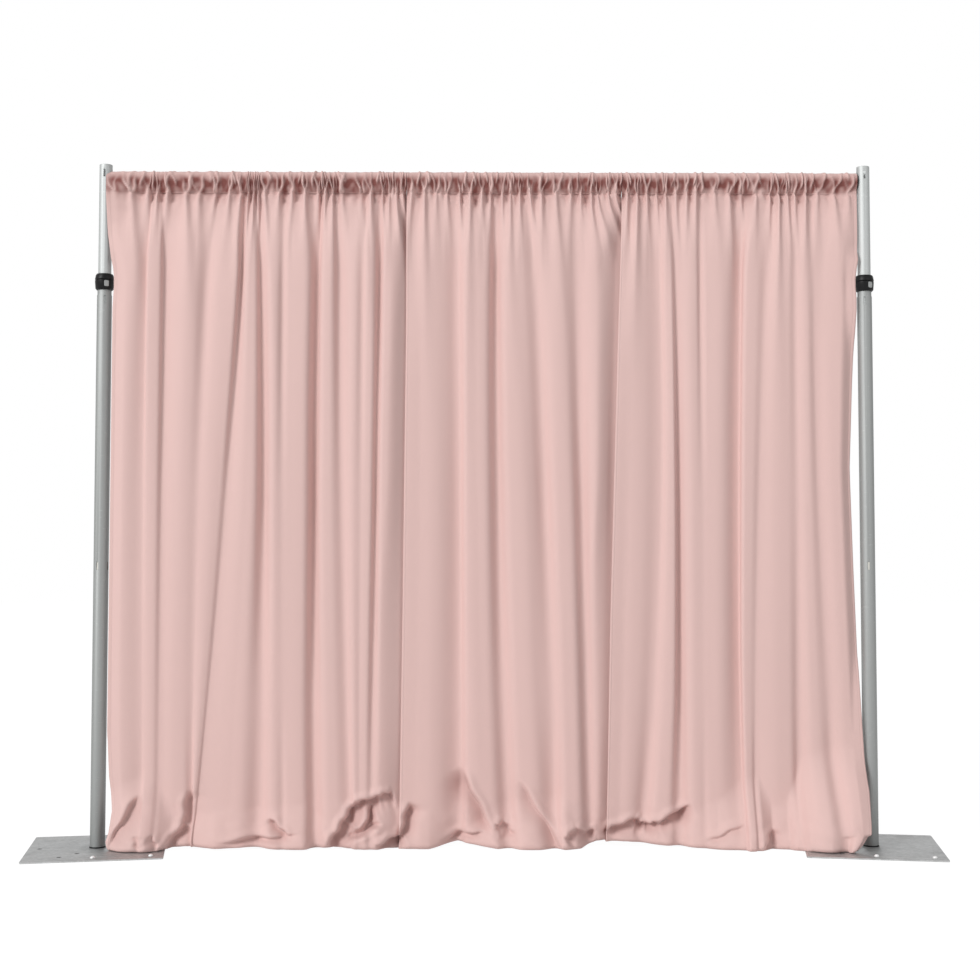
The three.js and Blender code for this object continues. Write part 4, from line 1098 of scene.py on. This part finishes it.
def aluminium_material(name, base):
    """Satin drawn aluminium with streaks along the tube, handling marks and fine scratches."""
    material, tree, shader = new_material(name)
    grain, tone = drawn_tone(tree, streaks=0.35, mottle=0.3)
    colour = mix(tree, tone, shade(base, 0.78), shade(base, 1.1))
    feed(tree, shader,
         Base_Color=mix(tree, grain["Scratch"], colour, shade(base, 1.4)),
         Metallic=0.84,
         Roughness=scaled(tree, grain["Tone"], factor=0.3, offset=0.64),
         Normal=bump(tree, grain["Height"], strength=0.12, distance=0.0003))
    return material


def painted_hole_shade(tree, vector):
    """Painted shade on the plates round their open holes."""
    nearest = 1.0
    for side in SIDES:
        for place in HOLE_PLACES:
            away = put(tree, "ShaderNodeVectorMath", operation="DISTANCE")
            plug(tree, away.inputs[0], vector)
            plug(tree, away.inputs[1], plate_point(side, place, PLATE_TOP))
            nearest = maths(tree, "MINIMUM", away.outputs["Value"], nearest)
    return maths(tree, "LESS_THAN", nearest, HOLE_SHADE_RADIUS)


def steel_material(name, base):
    """Galvanised plate: dull zinc crystals, stains and scuffs, and painted shade round the open holes."""
    material, tree, shader = new_material(name)
    vector = object_vector(tree)
    zinc = use(tree, "Zinc spangle", Vector=vector, Crystals_per_metre=110.0)
    grain = use(tree, "Drawn metal", Vector=vector, Streaks=0.2, Mottle=0.7)
    tone = maths(tree, "ADD", maths(tree, "MULTIPLY", zinc["Tone"], 0.35), grain["Tone"])
    share = maths(tree, "ADD", tone, 0.5, clamp=True)
    stain = beyond(tree, zinc["Stain"], level=0.52, gain=2.2)
    colour = mix(tree, share, shade(base, 0.72), shade(base, 1.22))
    stained = mix(tree, stain, colour, shade(base, 0.6))
    # Painted shade darkens the plate round its open holes
    feed(tree, shader,
         Base_Color=mix(tree, painted_hole_shade(tree, vector), stained, shade(base, 0.3)),
         Metallic=0.85,
         Roughness=scaled(tree, stain, factor=0.25, offset=0.45),
         Normal=bump(tree, zinc["Stain"], strength=0.15, distance=0.0006))
    return material


def zinc_material(name, base):
    """Bright zinc plating with slight handling haze."""
    material, tree, shader = new_material(name)
    grain, tone = drawn_tone(tree, streaks=0.15, mottle=0.8)
    feed(tree, shader,
         Base_Color=mix(tree, tone, shade(base, 0.75), shade(base, 1.15)),
         Metallic=1.0,
         Roughness=scaled(tree, tone, factor=0.2, offset=0.25),
         Normal=bump(tree, grain["Height"], strength=0.08, distance=0.0002))
    return material


def stud_material(name, base):
    """Near-white studs, paler than the plate: the white is a painted highlight for the glint of plated
    heads.
    """
    material, tree, shader = new_material(name)
    _, tone = drawn_tone(tree, streaks=0.1, mottle=0.3)
    colour = mix(tree, tone, shade(base, 0.9), base)
    feed(tree, shader, Base_Color=colour, Metallic=0.1, Roughness=0.3)
    return material


def plastic_material(name, base, roughness):
    """Moulded plastic with a fine grain and rubbed spots."""
    material, tree, shader = new_material(name)
    grain = use(tree, "Moulded grain", Vector=object_vector(tree), Scale=1100.0)
    worn = tuple(min(1, c * 1.8 + 0.01) for c in base)
    feed(tree, shader,
         Base_Color=mix(tree, grain["Rub"], base, worn),
         Roughness=scaled(tree, grain["Rub"], factor=0.15, offset=roughness),
         Specular_IOR_Level=0.2,
         Normal=bump(tree, grain["Height"], strength=0.25, distance=0.0002))
    return material


# Rows of stitches on the flat cloth: the second row above the pocket's stitched line, the foot hem's row and
# the side hems' rows
SECOND_STITCH = 0.006
FOOT_STITCH = 0.026
SIDE_STITCH = 0.012


def stitch_rows(tree, across, up, width, stitch):
    """The thread and the dent of all rows of stitches."""
    thread = dent = None
    for distance, along in (
        (maths(tree, "SUBTRACT", up, stitch), across),
        (maths(tree, "SUBTRACT", up, stitch + SECOND_STITCH), across),
        (maths(tree, "SUBTRACT", up, FOOT_STITCH), across),
        (maths(tree, "SUBTRACT", across, SIDE_STITCH), up),
        (maths(tree, "SUBTRACT", across, width - SIDE_STITCH), up),
    ):
        row = use(tree, "Stitch row", Distance=distance, Along=along)
        thread = row["Thread"] if thread is None else maths(tree, "MAXIMUM", thread, row["Thread"])
        dent = row["Dent"] if dent is None else maths(tree, "MAXIMUM", dent, row["Dent"])
    return thread, dent


def cloth_material(settings, stitch):
    """Woven polyester: weave, slubs, hems and stitch rows in the flat cloth's own metres."""
    material, tree, shader = new_material("woven_polyester")
    base = settings.cloth
    uv = put(tree, "ShaderNodeUVMap", uv_map="cloth").outputs["UV"]
    split = feed(tree, put(tree, "ShaderNodeSeparateXYZ"), Vector=uv)
    thread, dent = stitch_rows(tree, split.outputs[0], split.outputs[1], settings.flat_width, stitch)
    weave = use(tree, "Plain weave", Vector=uv, Threads_per_metre=1500.0, Slub=0.5)
    # Painted shade: the colour darkens towards the shade colour where the attribute marks gathers and
    # hollows
    painted_shade = put(tree, "ShaderNodeAttribute", attribute_name="painted_shade").outputs["Fac"]
    broad = maths(tree, "MULTIPLY", noise_node(tree, uv, scale=2.3), 0.1)
    slub = maths(tree, "MULTIPLY", maths(tree, "ABSOLUTE", weave["Slub"]), 0.35)
    colour = mix(tree, broad, base, shade(base, 0.8))
    colour = mix(tree, slub, colour, shade(base, 1.15))
    colour = mix(tree, thread, colour, shade(base, 1.12))
    # Painted shade along the dents that the stitches pull in
    colour = mix(tree, maths(tree, "MULTIPLY", dent, 0.3), colour, shade(base, 0.72))
    fine = bump(tree, weave["Height"], strength=0.2, distance=0.0002)
    seams = bump(tree, maths(tree, "MULTIPLY", dent, -1.0), strength=0.6, distance=0.0008, Normal=fine)
    wrinkle = noise_node(tree, stretched(tree, uv, (1.0, 0.45, 1)), scale=14.0, detail=4.0, roughness=0.55)
    feed(tree, shader,
         Base_Color=mix(tree, painted_shade, colour, settings.painted_shade),
         Roughness=0.74,
         Specular_IOR_Level=0.25,
         Sheen_Weight=0.18,
         Sheen_Roughness=0.35,
         Normal=bump(tree, wrinkle, strength=0.12, distance=0.004, Normal=seams))
    return material


def finish(name):
    """A finished material by its slot's name, made the first time it is asked for."""
    settings = bpy.context.scene.backdrop_finish
    label, make, *details = {
        "aluminium": ("satin_aluminium", aluminium_material, settings.aluminium),
        "worn": ("worn_aluminium", aluminium_material, settings.worn),
        "steel": ("galvanised_steel", steel_material, settings.steel),
        "zinc": ("zinc_plating", zinc_material, settings.zinc),
        "studs": ("polished_studs", stud_material, settings.studs),
        "black": ("collar_plastic", plastic_material, settings.collar, 0.42),
        "nylon": ("natural_nylon", plastic_material, settings.nylon, 0.5),
    }[name]
    return bpy.data.materials.get(label) or make(label, *details)


def slot_of(node):
    """The material slot that the record gives to a node."""
    return next(s["material_slot"] for s in frame["record"]["subparts"] if s["node"] == node)


def body_of(node):
    """The body that the record gives to a node."""
    bodies = frame["record"]["behaviour"]["bodies"]
    return next(name for name, nodes in bodies.items() if node in nodes)


def paint(piece, slot):
    """Gives a piece one finished material."""
    piece.data.materials.clear()
    piece.data.materials.append(finish(slot))


def dressed(node, bevel, grade=None):
    """A smooth copy of a CAD node with softened edges, in its place."""
    piece = added(f"{node}_finished", frame["nodes"][node].data.copy())
    only(piece)
    bpy.ops.object.mode_set(mode="EDIT")
    bpy.ops.mesh.select_all(action="SELECT")
    bpy.ops.mesh.remove_doubles(threshold=WELD)
    bpy.ops.mesh.dissolve_limited(angle_limit=FLAT_ANGLE)
    bpy.ops.object.mode_set(mode="OBJECT")
    edge = piece.modifiers.new("edge", "BEVEL")
    edge.width = bevel
    edge.segments = EDGE_SEGMENTS
    edge.limit_method = "ANGLE"
    edge.angle_limit = EDGE_ANGLE
    bpy.ops.object.modifier_apply(modifier="edge")
    bpy.ops.object.shade_smooth_by_angle(angle=SMOOTH_ANGLE)
    paint(piece, grade or slot_of(node))
    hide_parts(node)
    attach(piece, body_of(node))


class BACKDROP_OT_stage(bpy.types.Operator):
    """Adds the floor, the lights, the world and the camera at the photograph's angle"""
    bl_idname = "backdrop.stage"
    bl_label = "Stage"

    def execute(self, context):
        settings = context.scene.backdrop_stage
        self.floor(settings)
        self.world(context, settings)
        self.lamp("key_light", settings.key_power, *KEY_LIGHT)
        self.lamp("fill_light", settings.fill_power, *FILL_LIGHT)
        self.camera(context, settings)
        context.scene.view_settings.view_transform = "Standard"
        return {"FINISHED"}

    def floor(self, settings):
        """A plain floor that the camera sees as nearly white."""
        bpy.ops.object.select_all(action="DESELECT")
        bpy.ops.mesh.primitive_plane_add(size=FLOOR_SIZE, location=(0, 0, FLOOR_LEVEL))
        floor = bpy.context.object
        floor.name = "floor"
        material, tree, shader = new_material("plain_floor")
        feed(tree, shader, Base_Color=settings.floor_colour, Roughness=0.9, Specular_IOR_Level=0.1)
        rays = put(tree, "ShaderNodeLightPath").outputs
        seen = maths(tree, "MAXIMUM", rays["Is Camera Ray"], rays["Is Glossy Ray"])
        white = feed(tree, put(tree, "ShaderNodeEmission"), Strength=FLOOR_GLOW)
        blend = put(tree, "ShaderNodeMixShader")
        share = maths(tree, "MULTIPLY", seen, settings.floor_white)
        for slot, value in enumerate((share, shader.outputs[0], white.outputs[0])):
            plug(tree, blend.inputs[slot], value)
        plug(tree, tree.nodes["Material Output"].inputs["Surface"], blend.outputs[0])
        floor.data.materials.append(material)

    def world(self, context, settings):
        """An even light that is white to the camera and brighter in reflections."""
        world = bpy.data.worlds.new("studio")
        context.scene.world = world
        world.use_nodes = True
        tree = world.node_tree
        rays = put(tree, "ShaderNodeLightPath").outputs
        seen = maths(tree, "MAXIMUM", rays["Is Camera Ray"], rays["Is Transmission Ray"])
        shiny = mix(tree, rays["Is Glossy Ray"], settings.world_strength, settings.gloss_strength, "FLOAT")
        feed(tree, tree.nodes["Background"], Color=(1, 1, 1), Strength=mix(tree, seen, shiny, 1.0, "FLOAT"))

    def lamp(self, name, power, size, place, aim):
        """A round area light that looks at a point."""
        data = bpy.data.lights.new(name, "AREA")
        data.energy = power
        data.shape = "DISK"
        data.size = size
        lamp = added(name, data)
        lamp.location = place
        lamp.rotation_euler = (Vector(aim) - Vector(place)).to_track_quat("-Z", "Y").to_euler()

    def camera(self, context, settings):
        """The photograph's camera."""
        data = bpy.data.cameras.new("camera")
        data.sensor_width = SENSOR_WIDTH
        data.lens = settings.lens
        data.clip_end = VIEW_END
        camera = added("camera", data)
        camera.location = (settings.camera_side, -settings.camera_distance, settings.camera_height)
        camera.rotation_euler = (math.pi / 2 + settings.camera_pitch, 0, -settings.camera_yaw)
        context.scene.camera = camera


class BACKDROP_OT_fittings(bpy.types.Operator):
    """Gives every CAD node that stays in the scene its finish"""
    bl_idname = "backdrop.fittings"
    bl_label = "Fittings"

    def execute(self, context):
        for name, node in frame["nodes"].items():
            if slot_of(name) != "drape":
                paint(node, slot_of(name))
        return {"FINISHED"}


class BACKDROP_OT_uprights(bpy.types.Operator):
    """Finishes the lower and upper tubes of both uprights"""
    bl_idname = "backdrop.uprights"
    bl_label = "Uprights"

    def execute(self, context):
        for side in SIDES:
            dressed(f"{side}_lower_tube", TUBE_EDGE, "worn")
            dressed(f"{side}_upper_tube", TUBE_EDGE)
            dressed(f"{side}_foot_ring", TUBE_EDGE)
        return {"FINISHED"}


class BACKDROP_OT_collars(bpy.types.Operator):
    """Finishes the slip-lock collars and their release buttons"""
    bl_idname = "backdrop.collars"
    bl_label = "Collars"

    def execute(self, context):
        for side in SIDES:
            dressed(f"{side}_collar_body", COLLAR_EDGE)
            dressed(f"{side}_collar_cap", COLLAR_EDGE)
            dressed(f"{side}_release_button", BUTTON_EDGE, "worn")
        return {"FINISHED"}


class BACKDROP_OT_bases(bpy.types.Operator):
    """Finishes the base plates and sets the bright studs in their front holes"""
    bl_idname = "backdrop.bases"
    bl_label = "Bases"

    def execute(self, context):
        for side in SIDES:
            plate = f"{side}_base_plate"
            dressed(plate, PLATE_EDGE)
            piece = studs(side)
            paint(piece, "studs")
            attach(piece, body_of(plate))
        return {"FINISHED"}


class BACKDROP_OT_drapes(bpy.types.Operator):
    """Hangs the three gathered panels on the crossbar"""
    bl_idname = "backdrop.drapes"
    bl_label = "Drapes"

    def execute(self, context):
        settings = context.scene.backdrop_drape
        panels = [Panel(name, settings) for name in PANELS]
        made = [panel.points() for panel in panels]
        flat = made[0][1]
        for name, panel, (grid, _) in zip(PANELS, panels, made):
            piece = cloth_mesh(f"{name}_cloth", grid, flat, settings.flat_width)
            self.paint_crease_shade(piece, panel, grid)
            self.thicken(piece, settings.thickness)
            stitch = settings.spare_length + panel.stitch
            cloth = bpy.data.materials.get("woven_polyester") or cloth_material(settings, stitch)
            piece.data.materials.append(cloth)
            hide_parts(name)
            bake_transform(piece)
        return {"FINISHED"}

    def paint_crease_shade(self, piece, panel, grid):
        """How deep each point lies in a gather or a hollow, kept as an attribute that paints shade into the
        colour.
        """
        depth = np.zeros(grid.shape[:2])
        first = len(grid) - POCKET_ROWS
        for k in range(len(grid)):
            level = grid[k, :, 2].mean()
            if level < HEM_TOP:
                dents = panel.dented(grid[k, :, 0], level)
                depth[k] = np.clip(HOLLOW_SHADE * dents, 0, DEEPEST_HOLLOW)
                continue
            below = panel.stitch - level + panel.scallop
            patchy = 1 + PATCH_SHADE * self.patches(panel, level)
            patchy -= POCKET_LIGHT * smooth(panel.stitch + POCKET_LIGHT_REACH - level, 0, POCKET_LIGHT_REACH)
            over = 1 - smooth(level, BAR_CENTRE + GATHER_ENDS[0], BAR_CENTRE + GATHER_ENDS[1])
            gathered = smooth(-below, *GATHER_STARTS) * over
            pleats = panel.pleats(level)
            crest = PLEAT_CREST * pleats
            if k >= first:
                crest = panel.tucks((k + 1 - first) / POCKET_ROWS, 1.0)
            fading = np.exp(-np.maximum(below, 0) / PLEAT_SHADE_REACH) * (below > 0)
            between = PLEAT_SHADE * (1 - np.clip(pleats, 0, 1)) * fading
            inside = gathered * np.clip(GATHER_SHADE - CREST_LIGHT * crest, 0, 1)
            depth[k] = np.maximum(inside, between) * patchy
        attribute = piece.data.attributes.new("painted_shade", "FLOAT", "POINT")
        attribute.data.foreach_set("value", woven(depth).astype(np.float32))

    def patches(self, panel, level):
        """Uneven painted shade over the gathers, from -1 to 1."""
        up = level / PATCH_HEIGHT
        return np.array([noise.noise(Vector((u / PATCH_WIDTH, up, panel.number))) for u in panel.along])

    def thicken(self, piece, thickness):
        """Gives the cloth its thickness, half to either side."""
        only(piece)
        wall = piece.modifiers.new("wall", "SOLIDIFY")
        wall.thickness = thickness
        wall.offset = 0
        bpy.ops.object.modifier_apply(modifier="wall")


class BACKDROP_PT_panel(bpy.types.Panel):
    """The backdrop's steps and settings"""
    bl_label = "Backdrop"
    bl_idname = "BACKDROP_PT_panel"
    bl_space_type = "VIEW_3D"
    bl_region_type = "UI"
    bl_category = "Backdrop"

    def draw(self, context):
        for operator in OPERATORS:
            self.layout.operator(operator.bl_idname)
        for name in SETTINGS:
            group = getattr(context.scene, name)
            box = self.layout.box()
            for key in group.bl_rna.properties.keys():
                if key not in {"rna_type", "name"}:
                    box.prop(group, key)


OPERATORS = (BACKDROP_OT_stage, BACKDROP_OT_fittings, BACKDROP_OT_uprights, BACKDROP_OT_collars,
             BACKDROP_OT_bases, BACKDROP_OT_drapes)
SETTINGS = {"backdrop_stage": StageSettings, "backdrop_finish": FinishSettings,
            "backdrop_drape": DrapeSettings}


def register():
    for item in (*SETTINGS.values(), *OPERATORS, BACKDROP_PT_panel):
        bpy.utils.register_class(item)
    for name, group in SETTINGS.items():
        setattr(bpy.types.Scene, name, bpy.props.PointerProperty(type=group))


def unregister():
    for name in SETTINGS:
        delattr(bpy.types.Scene, name)
    for item in reversed((*SETTINGS.values(), *OPERATORS, BACKDROP_PT_panel)):
        bpy.utils.unregister_class(item)


def main():
    register()
    bpy.ops.backdrop.stage()
    bpy.ops.backdrop.fittings()
    bpy.ops.backdrop.uprights()
    bpy.ops.backdrop.collars()
    bpy.ops.backdrop.bases()
    bpy.ops.backdrop.drapes()


if __name__ == "__main__":
    main()
